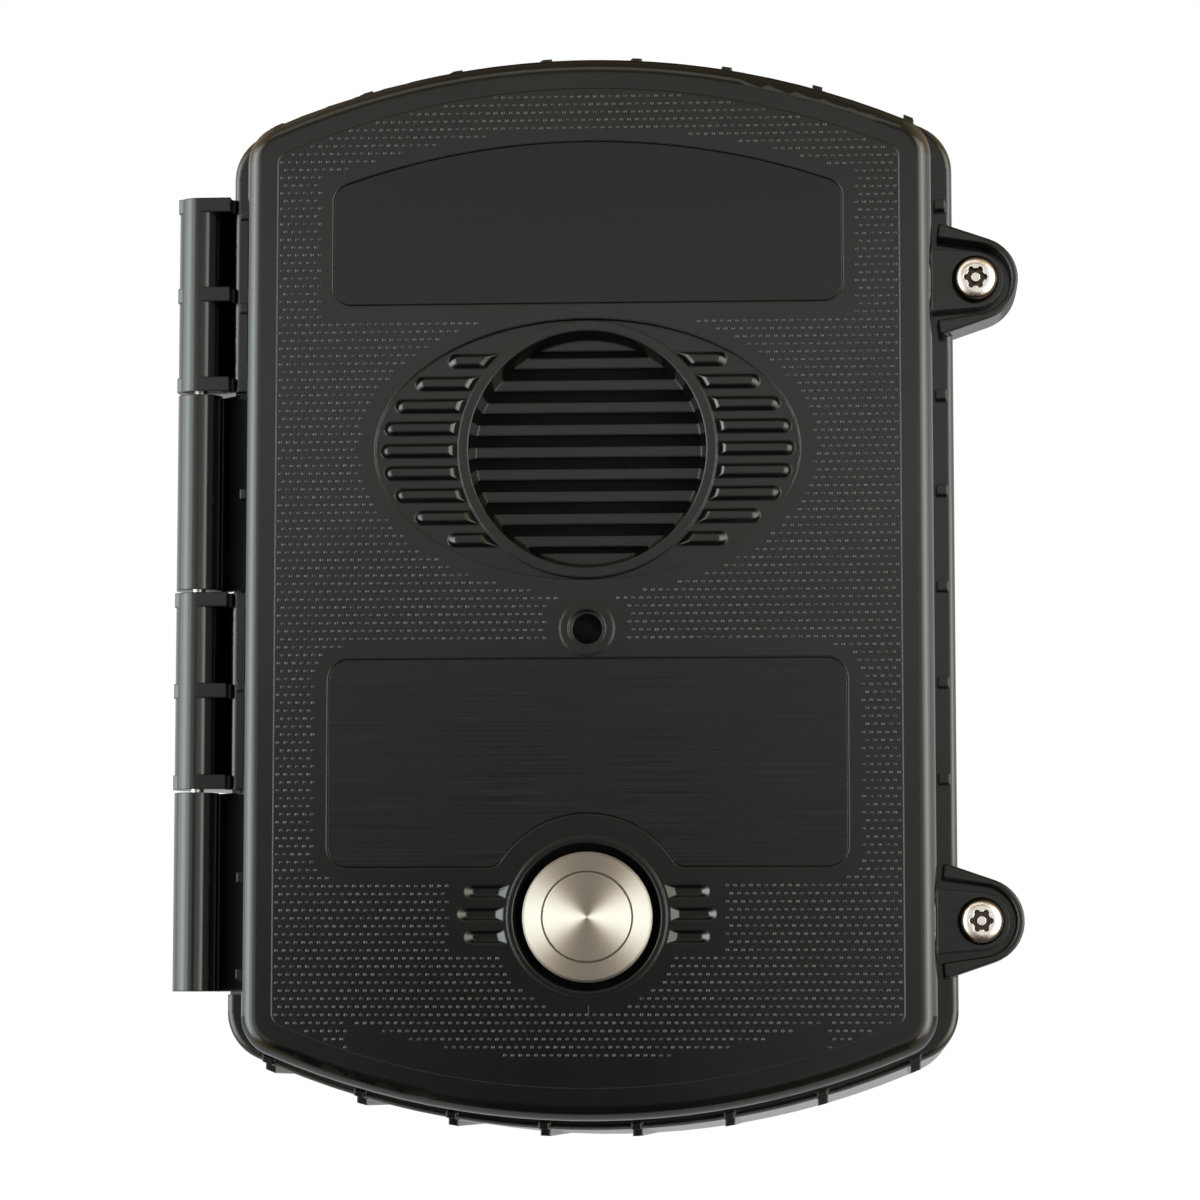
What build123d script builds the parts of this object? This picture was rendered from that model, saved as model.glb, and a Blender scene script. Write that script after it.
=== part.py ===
from build123d import *
from math import cos, pi, radians, sin, sqrt
import os

# Wall call box: a ribbed rear housing that fixes to a wall and a hinged front door
# that carries the loudspeaker, microphone, push button and radio board.
# The frame has X to the right, Z up, and the wall at Y = 0; the door faces -Y.
# A depth in this file is the distance from the wall towards the viewer, along -Y.

os.makedirs("parts", exist_ok=True)

# Case
CASE_DEPTH = 85.0          # wall face to the face of the door
DOOR_W = 153.0
DOOR_H = 236.3
DOOR_DEPTH = 14.0          # face of the door to its rear rim
DOOR_WALL = 3.0
DOOR_EDGE_R = 3.5
ARCH_DROP = 17.0           # fall of the arched ends from the middle to the sides
CORNER_R = 9.0
SEAM_GAP = 0.3             # between the door's rim and the housing's mouth
BOX_WALL = 3.0
BOX_FLOOR = 3.0
MOUTH_GROW = 2.2           # the housing stands this far outside the door at its mouth
MOUTH_FLARE = 2.6          # added to that at the sides
MOUTH_EDGE_R = 1.4
REAR_GROW = 4.6            # and this far at the wall
REAR_FLARE = 0.4           # added to that at the sides

SEAM = CASE_DEPTH - DOOR_DEPTH
MOUTH = SEAM - SEAM_GAP
FACE = CASE_DEPTH
SKIN = FACE - DOOR_WALL
ARCH_R = ((DOOR_W / 2) ** 2 + ARCH_DROP**2) / (2 * ARCH_DROP)

# Outer ribs of the housing
RIB_W = 2.2
RIB_PITCH = 21.5
RIBS_PER_SIDE = 9
RIB_SETBACK = 2.7          # from the mouth to the front ends of the ribs
RIB_STOCK = 4 * REAR_GROW  # extra length of the ribs before they are trimmed
RIB_GROW = 3.8             # front ends of the ribs, outside the door's outline
NUB_GAP = 0.8              # small nubs on the mouth, outside the door's outline
NUB_GROW = 2.2
NUB_FLARE = 1.0            # added to that at the sides
NUB_H = 3.0
HINGE_NUB_H = 1.2          # lower beside the hinge, to clear the door as it swings
NUB_RISE = 2.2             # nubs of the door, above the webs of its knuckles
END_RIB_PITCH = 20.5
END_RIBS = 8

# Seal between the door and the housing
LIP_OUT = 3.6              # lip's outer face, inside the door's outline
LIP_W = 1.8
LIP_RISE = 5.0             # above the mouth
LEDGE_T = 3.0
CHANNEL_IN = 6.2           # inner wall of the seal's channel, inside the door's outline
CHANNEL_WALL = 2.0
CHANNEL_H = 5.5
SEAL_CLEAR = 0.3

# Hinge
HINGE_OUT = 12.5           # pin's axis outside the door's side
HINGE_BEHIND = 3.0         # and behind the door's rear rim
HINGE_END = 28.45          # from an end of the door to that end of the hinge
KNUCKLES = 4
KNUCKLE_GAP = 0.7
BARREL_R = 5.0
PIN_R = 1.55
PIN_INSET = 1.0
PIN_FIT = 0.02             # pressed in the housing's knuckles
PIN_PLAY = 0.08            # running in the door's knuckles
GUSSET_T = 3.2
GUSSETS_PER_KNUCKLE = 3
GUSSET_REACH = 20.0        # how far the gussets run back along the housing
GUSSET_NOTCH = 3.2         # from the housing's mouth line to the gusset's rounded front end
HINGE_WEB = 2.4            # sheet that closes the room between a knuckle and the case's side

HINGE_ROOM = HINGE_OUT - BARREL_R
HINGE_X = -DOOR_W / 2 - HINGE_OUT
HINGE_DEPTH = SEAM - HINGE_BEHIND
HINGE_L = DOOR_H - 2 * HINGE_END
KNUCKLE_L = (HINGE_L - (KNUCKLES - 1) * KNUCKLE_GAP) / KNUCKLES
KNUCKLE_PITCH = KNUCKLE_L + KNUCKLE_GAP

# Cover screws, their cups on the housing and tongues on the door
SCREW_OUT = 9.8            # screw's axis outside the door's side
UPPER_SCREW_DROP = 49.55   # below the top of the door
LOWER_SCREW_RISE = 43.65   # above the bottom of the door
SCREW_R = 3.0
SCREW_L = 18.5
SCREW_TRAVEL = 6.0
HEAD_R = 5.25
HEAD_H = 3.3
HEAD_EDGE_R = 2.3
SOCKET_R = 2.65
SOCKET_LOBE_R = 0.65
SOCKET_DEPTH = 2.0
SOCKET_PIN_R = 1.0
TONGUE_T = 3.5
TONGUE_R = 6.4
TONGUE_ROOT = 14.4
TONGUE_PLAY = 0.4
CUP_GAP = 1.5
CUP_WALL = 1.6
CUP_RISE = 5.3             # rim above the mouth
CUP_EDGE_R = 0.5
CUP_ROOT = 25.0            # height of the cup where it meets the housing
LUG_DEPTH = 13.0
INSERT_R = 4.2
INSERT_L = 10.0
INSERT_PLAY = 0.5          # lets the straight shank swing out as the door opens
INSERT_FIT = 0.02
BOSS_WALL = 2.3
RING_R = 4.6
RING_T = 1.2
RING_GROOVE = 0.4
RING_PLAY = 0.05
RING_ROOM = 1.0
RING_STOP = 0.2            # left between ring and tongue when the screw is fully out

SCREW_X = DOOR_W / 2 + SCREW_OUT
SCREW_ZS = {"upper": DOOR_H / 2 - UPPER_SCREW_DROP, "lower": LOWER_SCREW_RISE - DOOR_H / 2}
SCREW_TIP = SEAM + TONGUE_T - SCREW_L
INSERT_TOP = SCREW_TIP + SCREW_TRAVEL
RING_TOP = SEAM - RING_STOP - SCREW_TRAVEL

# Speaker and its grille
SPEAKER_Z = 29.7
OVAL_A = 47.2
OVAL_B = 29.2
OVAL_DEPTH = 1.2
LIP_R = 28.75
WELL_R = 26.5
WELL_FLOOR_R = 25.2
WELL_DEPTH = 5.5
WELL_TUBE_R = 29.5
SLAT_T = 2.0
SLAT_H = 2.4
SLAT_PITCH = 5.0
SLATS = 9
SLAT_END_GAP = 1.5
BAR_SPAN = 46.1            # half width of the widest pair of bars
BAR_SPAN_H = 27.0          # half height of the ellipse on which the bars end
BAR_H = 3.2
BAR_RING_GAP = 0.35
BAR_SIDE_RUN = 0.8         # run of the sloping long sides
BAR_END_RUN = 1.6          # run of the ends, which slope less steeply
SCREEN_T = 0.3
FOAM_T = 1.0
SPEAKER_R = 28.5
FLANGE_T = 1.0
CONE_R = 24.0
CONE_THROAT_R = 8.5
CONE_H = 10.0
CONE_T = 0.4
BASKET_DEEP = 12.0
BASKET_WINDOWS = 4
BASKET_WINDOW_R = 8.0
MAGNET_R = 16.0
MAGNET_T = 8.0
MAGNET_EDGE_R = 1.0
DUST_CAP_R = 9.0
DUST_CAP_RISE = 3.0
CLAMPS = 3
CLAMP_SCREW_R = 33.2       # radius of the circle of clamp screws
CLAMP_W = 8.0
CLAMP_T = 1.5
CLAMP_OVERLAP = 1.7
SMALL_SCREW_R = 1.2
SMALL_HEAD_R = 2.6
SMALL_HEAD_H = 1.8
SMALL_BOSS_R = 3.2

WELL_FLOOR = FACE - WELL_DEPTH
GRILLE_BACK = WELL_FLOOR - SLAT_T
SCREEN_BACK = GRILLE_BACK - SCREEN_T
FOAM_BACK = SCREEN_BACK - FOAM_T
FLANGE_BACK = FOAM_BACK - FLANGE_T

# Microphone port
MIC_Z = -10.25
MIC_COLLAR_R = 6.0
MIC_HOLE_R = 4.1
MIC_FLOOR = 1.5            # thickness left under the hole
MIC_MOUTH_R = 3.3          # what the capsule's front shows through
COLLAR_RISE = 0.4
CAPSULE_R = 4.85
CAPSULE_T = 6.7
BOOT_WALL = 0.5
BOOT_PLAY = 0.15
MIC_TUBE_WALL = 1.8
MIC_TUBE_H = 6.0
MIC_LEG_R = 0.3
MIC_LEG_SPAN = 2.54

# Push button
BUTTON_Z = -73.7
BUTTON_WELL_R = 16.3
BUTTON_COLLAR_R = 17.6
BUTTON_WELL_DEPTH = 4.0
BUTTON_FLOOR_T = 3.0
BUTTON_CUP_R = 19.5
BEZEL_R = 14.3
BEZEL_CHAMFER = 0.5
BARREL_HOLE_R = 12.6
BUTTON_BARREL_R = 12.4
BUTTON_L = 21.8            # barrel behind the bezel
SEAL_T = 0.8
BUTTON_SET_BACK = 0.4      # bezel's face behind the door's face
CAP_R = 9.75
CAP_FIT = 0.05
CAP_GROOVE = 0.4
CAP_GROOVE_DEPTH = 1.2
CAP_FLANGE_R = 10.6
CAP_FLANGE_T = 1.5
CAP_L = 10.6
CAP_DISH = 0.25
CHAMBER_R = 11.0
PLUNGER_R = 3.0
PLUNGER_L = 9.0
BLOCK_R = 11.5
BLOCK_T = 6.0
PLUG_T = 2.0
SPRING_R = 5.6
WIRE_R = 0.35
SPRING_TURNS = 5
NUT_AF = 30.0
NUT_T = 4.0
TERMINAL_W = 6.3
TERMINAL_T = 0.8
TERMINAL_L = 7.0
TERMINAL_SPAN = 10.0
BAR_ROWS = 3
BAR_ROW_PITCH = 4.95
BAR_ROW_RISE = 0.6         # centre of the rows above the button's centre
BAR_OUTER = 28.9
BAR_OUTER_STEP = 1.5
BAR_DEPTH = 1.2

BEZEL_FACE = FACE - BUTTON_SET_BACK
BUTTON_FLOOR = FACE - BUTTON_WELL_DEPTH
BUTTON_PANEL_BACK = BUTTON_FLOOR - BUTTON_FLOOR_T
BEZEL_BACK = BUTTON_FLOOR + SEAL_T
BUTTON_REAR = BEZEL_BACK - BUTTON_L
CAP_REAR = BEZEL_FACE - CAP_L
CHAMBER_FLOOR = BUTTON_REAR + PLUG_T

# Label plates
PLATE_T = 0.6
PLATE_SET_BACK = 0.1
PLATE_PLAY = 0.2
UPPER_PLATE_W = 113.2
UPPER_PLATE_BOTTOM = 62.5
UPPER_PLATE_SHOULDER = 88.6
UPPER_PLATE_APEX = 98.8
UPPER_PLATE_R = 4.0
LOWER_PLATE_W = 114.4
LOWER_PLATE_TOP = -17.0
LOWER_PLATE_BOTTOM = -62.7
LOWER_PLATE_R = 4.5
LOWER_PLATE_BITE_R = 22.8
LOWER_PLATE_BITE_FILLET = 3.0

# Radio board
BOARD_W = 116.0
BOARD_TOP = -6.0
BOARD_BOTTOM = -54.0
BOARD_T = 1.6
BOARD_CORNER_R = 2.0
BOARD_STANDOFF = 14.0
BOARD_HOLE_X = 53.0
BOARD_HOLE_INSET = 5.0
STANDOFF_R = 3.5
PILOT_R = 1.25
BOARD_SCREW_L = 10.0
SHIELD_X, SHIELD_Z = -32.0, -30.0
SHIELD_W, SHIELD_H, SHIELD_T = 36.0, 28.0, 4.0
SHIELD_WALL = 0.8
SHIELD_CORNER_R = 1.0
CHIP_X, CHIP_Z = 6.0, -28.0
CHIP_SIZE, CHIP_T, CHIP_CHAMFER = 12.0, 1.4, 0.4
SWITCH_X, SWITCH_Z = 34.0, -18.0
SWITCH_W, SWITCH_H, SWITCH_T = 21.0, 9.0, 3.6
SWITCH_LEVERS = 8
SWITCH_LEVER = 1.2
CAPACITORS_X, CAPACITORS_Z = 24.0, -42.0
CAPACITOR_R, CAPACITOR_T, CAPACITOR_EDGE_R = 3.15, 7.0, 0.5
CAPACITOR_PITCH, CAPACITORS = 8.5, 3
HEADERS_X, HEADERS_Z = -2.0, -48.0
HEADER_W, HEADER_H, HEADER_T = 12.0, 5.8, 7.0
HEADER_WALL, HEADER_FLOOR = 0.8, 1.6
HEADER_PITCH, HEADERS = 15.0, 2
AERIAL_X = 42.0
SOCKET_HEX = 8.0
SOCKET_BASE = 3.0
SOCKET_L = 10.0
SOCKET_TUBE_R = 3.0
AERIAL_R = 4.5
AERIAL_TIP_R = 3.4
AERIAL_TIP_EDGE_R = 2.4
AERIAL_L = 80.0
AERIAL_DEPTH_GAP = 4.2     # aerial's axis in front of the board

BOARD_FRONT = SKIN - BOARD_STANDOFF
BOARD_BACK = BOARD_FRONT - BOARD_T
BOARD_Z = (BOARD_TOP + BOARD_BOTTOM) / 2
BOARD_H = BOARD_TOP - BOARD_BOTTOM

# Batteries
CELL_R = 17.1
CELL_L = 60.0
CELL_NUB_R = 4.7
CELL_NUB_H = 1.5
CELL_EDGE_R = 1.0
CELL_PLAY = 0.3
CELL_PITCH = 35.5
COLUMNS = 3
ROWS = 2
SPRING_ROOM = 5.0
CONTACT_T = 0.8
CONTACT_W = 24.0
CONTACT_H = 12.0
LEAF_W = 12.0
LEAF_T = 0.6
LEAF_SPAN = 18.0
TRAY_FLOOR = 2.0
TRAY_WALL = 2.0
TRAY_DEPTH = 27.0
TRAY_TAB_X = 30.0
TRAY_TAB_W = 12.0
TRAY_TAB_H = 9.0
TRAY_TAB_T = 2.4
TRAY_SCREW_L = 8.0
STRAP_W = 14.0
STRAP_T = 2.0
STRAP_FOOT = 10.0
STRAP_SIDE_GAP = 0.5
FLOOR_BOSS_H = 8.0
FLOOR_BOSS_R = 4.0

CELL_AXIS = BOX_FLOOR + TRAY_FLOOR + CELL_PLAY + CELL_R
BAY_L = CELL_L + CELL_NUB_H + SPRING_ROOM + CONTACT_T * 2
BAY_Z = (BAY_L + TRAY_WALL) / 2
TRAY_W = COLUMNS * CELL_PITCH + 2 * TRAY_WALL
TRAY_H = ROWS * BAY_L + (ROWS + 1) * TRAY_WALL
STRAP_TOP = CELL_AXIS + CELL_R + CELL_PLAY + STRAP_T
BOSS_TOP = BOX_FLOOR + FLOOR_BOSS_H
STRAP_LEG_X = TRAY_W / 2 + STRAP_SIDE_GAP + STRAP_T / 2
STRAP_HOLE_X = STRAP_LEG_X + STRAP_T / 2 + STRAP_FOOT / 2
TAB_HOLE_Z = TRAY_H / 2 + TRAY_TAB_H / 2

# Wall fixing holes
WALL_HOLE_R = 2.75
WALL_HOLE_SPAN_X = 90.0
WALL_HOLE_SPAN_Z = 190.0
WALL_PAD_R = 6.5
WALL_PAD_H = 2.0


def at_depth(depth):
    """Sketch plane parallel to the wall, at a depth; its local y is up."""
    return Plane.XZ.offset(depth)


def box_grow(depth):
    """How far the housing stands outside the door's outline at a depth."""
    return REAR_GROW + (MOUTH_GROW - REAR_GROW) * depth / MOUTH


def box_flare(depth):
    """How much further its sides stand out at a depth."""
    return REAR_FLARE + (MOUTH_FLARE - REAR_FLARE) * depth / MOUTH


def case_outline(grow, flare=0.0):
    """Face inside the arched outline, offset outwards by grow, and at its sides by flare too."""
    half_w = DOOR_W / 2 + grow + flare
    half_h = DOOR_H / 2 + grow
    radius = ARCH_R + grow
    shoulder = DOOR_H / 2 - ARCH_R + sqrt(radius**2 - half_w**2)
    with BuildSketch(Plane.XY, mode=Mode.PRIVATE) as outline:
        with BuildLine():
            ThreePointArc((-half_w, shoulder), (0, half_h), (half_w, shoulder))
            Line((half_w, shoulder), (half_w, -shoulder))
            ThreePointArc((half_w, -shoulder), (0, -half_h), (-half_w, -shoulder))
            Line((-half_w, -shoulder), (-half_w, shoulder))
        make_face()
        fillet(outline.vertices(), radius=CORNER_R + grow)
    return outline.sketch


def upper_plate_outline(grow):
    """Face of the arched upper plate, offset outwards by grow."""
    half_w = UPPER_PLATE_W / 2 + grow
    shoulder = UPPER_PLATE_SHOULDER + grow
    bottom = UPPER_PLATE_BOTTOM - grow
    with BuildSketch(Plane.XY, mode=Mode.PRIVATE) as outline:
        with BuildLine():
            ThreePointArc((-half_w, shoulder), (0, UPPER_PLATE_APEX + grow), (half_w, shoulder))
            Polyline((half_w, shoulder), (half_w, bottom), (-half_w, bottom), (-half_w, shoulder))
        make_face()
        fillet(outline.vertices(), radius=UPPER_PLATE_R + grow)
    return outline.sketch


def lower_plate_outline(grow):
    """Face of the lower plate with its bite round the button, offset outwards by grow."""
    height = LOWER_PLATE_TOP - LOWER_PLATE_BOTTOM + 2 * grow
    middle = (LOWER_PLATE_TOP + LOWER_PLATE_BOTTOM) / 2
    with BuildSketch(Plane.XY, mode=Mode.PRIVATE) as outline:
        with Locations((0, middle)):
            Rectangle(LOWER_PLATE_W + 2 * grow, height)
        fillet(outline.vertices(), radius=LOWER_PLATE_R + grow)
        with Locations((0, BUTTON_Z)):
            Circle(LOWER_PLATE_BITE_R - grow, mode=Mode.SUBTRACT)
        bite_corners = outline.vertices().filter_by(
            lambda v: abs(v.Y - LOWER_PLATE_BOTTOM + grow) < 0.01 and abs(v.X) < LOWER_PLATE_BITE_R
        )
        fillet(bite_corners, radius=LOWER_PLATE_BITE_FILLET)
    return outline.sketch


def teardrop(radius, root, root_x):
    """Rounded end on a cover screw's axis, running out to a root on the case."""
    with BuildSketch(Plane.XY, mode=Mode.PRIVATE) as outline:
        with Locations((SCREW_X, 0)):
            Circle(radius)
        with Locations((root_x, 0)):
            Rectangle(1.0, root)
        make_hull()
    return outline.sketch


def rib_centres(count, pitch):
    return [(i - (count - 1) / 2) * pitch for i in range(count)]


def knuckle_centre(index):
    """Height of the middle of a knuckle, counted from the top."""
    return HINGE_L / 2 - KNUCKLE_L / 2 - index * KNUCKLE_PITCH


def nub_outline(side_places, end_places):
    """Short lengths of a band round the door, at the places of ribs."""
    with BuildSketch(Plane.XY, mode=Mode.PRIVATE) as bands:
        if side_places:
            with Locations(*side_places):
                Rectangle(RIB_STOCK, RIB_W)
        if end_places:
            with Locations(*end_places):
                Rectangle(RIB_W, RIB_STOCK + 2 * ARCH_DROP)
    with BuildSketch(Plane.XY, mode=Mode.PRIVATE) as outline:
        add(case_outline(NUB_GROW, NUB_FLARE))
        add(case_outline(NUB_GAP), mode=Mode.SUBTRACT)
        add(bands.sketch, mode=Mode.INTERSECT)
    return outline.sketch


def floor_boss_places():
    strap_feet = [(x, z) for x in (-STRAP_HOLE_X, STRAP_HOLE_X) for z in (-BAY_Z, BAY_Z)]
    tray_tabs = [(x, z) for x in (-TRAY_TAB_X, TRAY_TAB_X) for z in (-TAB_HOLE_Z, TAB_HOLE_Z)]
    return strap_feet, tray_tabs


strap_feet, tray_tabs = floor_boss_places()
board_holes = [
    (x, z)
    for x in (-BOARD_HOLE_X, BOARD_HOLE_X)
    for z in (BOARD_TOP - BOARD_HOLE_INSET, BOARD_BOTTOM + BOARD_HOLE_INSET)
]
clamp_angles = [90 + i * 360 / CLAMPS for i in range(CLAMPS)]
clamp_holes = [
    (CLAMP_SCREW_R * cos(radians(a)), SPEAKER_Z + CLAMP_SCREW_R * sin(radians(a))) for a in clamp_angles
]

side_ribs = rib_centres(RIBS_PER_SIDE, RIB_PITCH)
screw_side_nubs = [z for z in side_ribs if min(abs(z - s) for s in SCREW_ZS.values()) > CUP_ROOT / 2]
hinge_side_nubs = [
    z
    for z in side_ribs
    if min(abs(z - knuckle_centre(index)) for index in range(0, KNUCKLES, 2)) < KNUCKLE_L / 2 - RIB_W
]
end_rib_places = [
    (x, z) for x in rib_centres(END_RIBS, END_RIB_PITCH) for z in (-DOOR_H / 2, DOOR_H / 2)
]

# Rear housing
with BuildPart() as rib_limit:
    with BuildSketch(Plane.XZ):
        add(case_outline(REAR_GROW, REAR_FLARE))
    with BuildSketch(at_depth(MOUTH - RIB_SETBACK)):
        add(case_outline(RIB_GROW))
    loft(ruled=True)

with BuildPart() as ribs:
    with BuildSketch(Plane.XZ):
        with Locations(*[(0, z) for z in rib_centres(RIBS_PER_SIDE, RIB_PITCH)]):
            Rectangle(DOOR_W + RIB_STOCK, RIB_W)
        with Locations(*[(x, 0) for x in rib_centres(END_RIBS, END_RIB_PITCH)]):
            Rectangle(RIB_W, DOOR_H + RIB_STOCK)
    extrude(amount=MOUTH - RIB_SETBACK)
    add(rib_limit.part, mode=Mode.INTERSECT)

with BuildPart() as rear_housing:
    with BuildSketch(Plane.XZ):
        add(case_outline(REAR_GROW, REAR_FLARE))
    with BuildSketch(at_depth(MOUTH)):
        add(case_outline(MOUTH_GROW, MOUTH_FLARE))
    loft(ruled=True)
    fillet(rear_housing.faces().sort_by(Axis.Y)[0].edges(), radius=MOUTH_EDGE_R)
    add(ribs.part)

    # Nubs on the mouth, in line with the ribs
    nub_root = 2 * RIB_SETBACK
    with BuildSketch(at_depth(MOUTH - nub_root)):
        add(nub_outline([(DOOR_W / 2, z) for z in screw_side_nubs], end_rib_places))
    extrude(amount=nub_root + NUB_H)
    with BuildSketch(at_depth(MOUTH - nub_root)):
        add(nub_outline([(-DOOR_W / 2, z) for z in hinge_side_nubs], []))
    extrude(amount=nub_root + HINGE_NUB_H)

    # Screw cups with their lugs and bosses
    for z in SCREW_ZS.values():
        with BuildSketch(at_depth(MOUTH + CUP_RISE - LUG_DEPTH)):
            with Locations((0, z)):
                add(teardrop(TONGUE_R + CUP_GAP + CUP_WALL, CUP_ROOT, DOOR_W / 2 + MOUTH_GROW))
        extrude(amount=LUG_DEPTH)
        with BuildSketch(at_depth(INSERT_TOP - INSERT_L - BOX_WALL)):
            with Locations((0, z)):
                add(teardrop(INSERT_R + BOSS_WALL, 2 * (INSERT_R + BOSS_WALL), DOOR_W / 2))
        extrude(amount=MOUTH - INSERT_TOP + INSERT_L + BOX_WALL)

    # Hinge knuckles, with the webs behind them and their gussets
    for index in range(0, KNUCKLES, 2):
        middle = knuckle_centre(index)
        with BuildSketch(Plane.XY.offset(middle - KNUCKLE_L / 2)):
            with Locations((HINGE_X, -HINGE_DEPTH)):
                Circle(BARREL_R)
            with BuildLine():
                Polyline(
                    (HINGE_X, -HINGE_DEPTH + BARREL_R),
                    (HINGE_X, -HINGE_DEPTH + BARREL_R - HINGE_WEB),
                    (-DOOR_W / 2, -HINGE_DEPTH + BARREL_R - HINGE_WEB + HINGE_OUT),
                    (-DOOR_W / 2, -HINGE_DEPTH + BARREL_R + HINGE_OUT),
                    (HINGE_X, -HINGE_DEPTH + BARREL_R),
                )
            make_face()
        extrude(amount=KNUCKLE_L)
        gusset_pitch = (KNUCKLE_L - GUSSET_T) / (GUSSETS_PER_KNUCKLE - 1)
        for z in rib_centres(GUSSETS_PER_KNUCKLE, gusset_pitch):
            with BuildSketch(Plane.XY.offset(middle + z - GUSSET_T / 2)):
                tip_x = -DOOR_W / 2 - MOUTH_GROW - GUSSET_NOTCH
                front = -HINGE_DEPTH - BARREL_R
                with BuildLine():
                    Polyline(
                        (HINGE_X, front),
                        (tip_x, front),
                        (tip_x, front + GUSSET_NOTCH),
                        (-DOOR_W / 2, -MOUTH + RIB_SETBACK),
                        (-DOOR_W / 2, -MOUTH + GUSSET_REACH + RIB_SETBACK),
                        (HINGE_X - BARREL_R, -HINGE_DEPTH),
                        (HINGE_X - BARREL_R, -HINGE_DEPTH - BARREL_R / 2),
                        (HINGE_X, front),
                    )
                make_face()
            extrude(amount=GUSSET_T)

    # Hollow, with everything that the tools above pushed into it
    with BuildSketch(at_depth(BOX_FLOOR)):
        add(case_outline(box_grow(BOX_FLOOR) - BOX_WALL, box_flare(BOX_FLOOR)))
    with BuildSketch(at_depth(MOUTH)):
        add(case_outline(MOUTH_GROW - BOX_WALL))
    loft(ruled=True, mode=Mode.SUBTRACT)

    # Ledge and lip of the seal
    with BuildSketch(at_depth(MOUTH - LEDGE_T)):
        add(case_outline(MOUTH_GROW - BOX_WALL / 2))
        add(case_outline(-LIP_OUT - LIP_W), mode=Mode.SUBTRACT)
    extrude(amount=LEDGE_T)
    with BuildSketch(at_depth(MOUTH)):
        add(case_outline(-LIP_OUT))
        add(case_outline(-LIP_OUT - LIP_W), mode=Mode.SUBTRACT)
    extrude(amount=LIP_RISE)

    # Slopes that make room for the webs of the door's knuckles
    for index in range(1, KNUCKLES, 2):
        bottom = knuckle_centre(index) - KNUCKLE_L / 2 - KNUCKLE_GAP
        with BuildSketch(Plane.XY.offset(bottom)):
            with BuildLine():
                Polyline(
                    (-DOOR_W / 2, -MOUTH),
                    (-DOOR_W / 2 - HINGE_ROOM, -MOUTH + HINGE_ROOM),
                    (-DOOR_W / 2 - HINGE_ROOM, -MOUTH),
                    (-DOOR_W / 2, -MOUTH),
                )
            make_face()
        extrude(amount=KNUCKLE_L + 2 * KNUCKLE_GAP, mode=Mode.SUBTRACT)

    # Pockets for the tongues, rooms for the retaining rings, bores for the inserts
    for z in SCREW_ZS.values():
        with BuildSketch(at_depth(MOUTH)):
            with Locations((0, z)):
                add(teardrop(TONGUE_R + CUP_GAP, CUP_ROOT - 2 * CUP_WALL - 2 * CUP_GAP, DOOR_W / 2))
        extrude(amount=CUP_RISE, mode=Mode.SUBTRACT)
        with BuildSketch(at_depth(MOUTH)):
            with Locations((DOOR_W / 2 + TONGUE_PLAY - CUP_ROOT / 2, z)):
                Rectangle(CUP_ROOT, CUP_ROOT + 2 * CUP_WALL)
            add(case_outline(-LIP_OUT + SEAL_CLEAR), mode=Mode.SUBTRACT)
        extrude(amount=CUP_RISE, mode=Mode.SUBTRACT)
        with BuildSketch(at_depth(INSERT_TOP)):
            with Locations((SCREW_X, z)):
                Circle(RING_R + RING_ROOM)
        extrude(amount=MOUTH - INSERT_TOP, mode=Mode.SUBTRACT)
        with BuildSketch(at_depth(INSERT_TOP - INSERT_L)):
            with Locations((SCREW_X, z)):
                Circle(INSERT_R + INSERT_FIT)
        extrude(amount=INSERT_L, mode=Mode.SUBTRACT)

    fillet(rear_housing.faces().group_by(Axis.Y)[0].edges(), radius=CUP_EDGE_R)

    # Pin hole through both knuckles
    with BuildSketch(Plane.XY.offset(-HINGE_L / 2)):
        with Locations((HINGE_X, -HINGE_DEPTH)):
            Circle(PIN_R + PIN_FIT)
    extrude(amount=HINGE_L, mode=Mode.SUBTRACT)

    # Bosses on the floor and holes to the wall
    with BuildSketch(at_depth(BOX_FLOOR)):
        with Locations(*strap_feet, *tray_tabs):
            Circle(FLOOR_BOSS_R)
    extrude(amount=FLOOR_BOSS_H)
    with BuildSketch(at_depth(BOSS_TOP - TRAY_SCREW_L + TRAY_TAB_T)):
        with Locations(*strap_feet, *tray_tabs):
            Circle(SMALL_SCREW_R)
    extrude(amount=TRAY_SCREW_L, mode=Mode.SUBTRACT)
    with BuildSketch(at_depth(BOX_FLOOR)):
        with GridLocations(WALL_HOLE_SPAN_X, WALL_HOLE_SPAN_Z, 2, 2):
            Circle(WALL_PAD_R)
    extrude(amount=WALL_PAD_H)
    with BuildSketch(Plane.XZ):
        with GridLocations(WALL_HOLE_SPAN_X, WALL_HOLE_SPAN_Z, 2, 2):
            Circle(WALL_HOLE_R)
    extrude(amount=BOX_FLOOR + WALL_PAD_H, mode=Mode.SUBTRACT)
rear_housing.part.label = "rear_housing"
export_step(rear_housing.part, "parts/rear_housing.step")

with BuildPart() as hinge_pin:
    with BuildSketch(Plane.XY.offset(-HINGE_L / 2 + PIN_INSET)):
        with Locations((HINGE_X, -HINGE_DEPTH)):
            Circle(PIN_R)
    extrude(amount=HINGE_L - 2 * PIN_INSET)
hinge_pin.part.label = "hinge_pin"
export_step(hinge_pin.part, "parts/hinge_pin.step")

with BuildPart() as threaded_inserts:
    with BuildSketch(at_depth(INSERT_TOP - INSERT_L)):
        with Locations(*[(SCREW_X, z) for z in SCREW_ZS.values()]):
            Circle(INSERT_R)
            Circle(SCREW_R + INSERT_PLAY, mode=Mode.SUBTRACT)
    extrude(amount=INSERT_L)
threaded_inserts.part.label = "threaded_inserts"
export_step(threaded_inserts.part, "parts/threaded_inserts.step")

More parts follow.
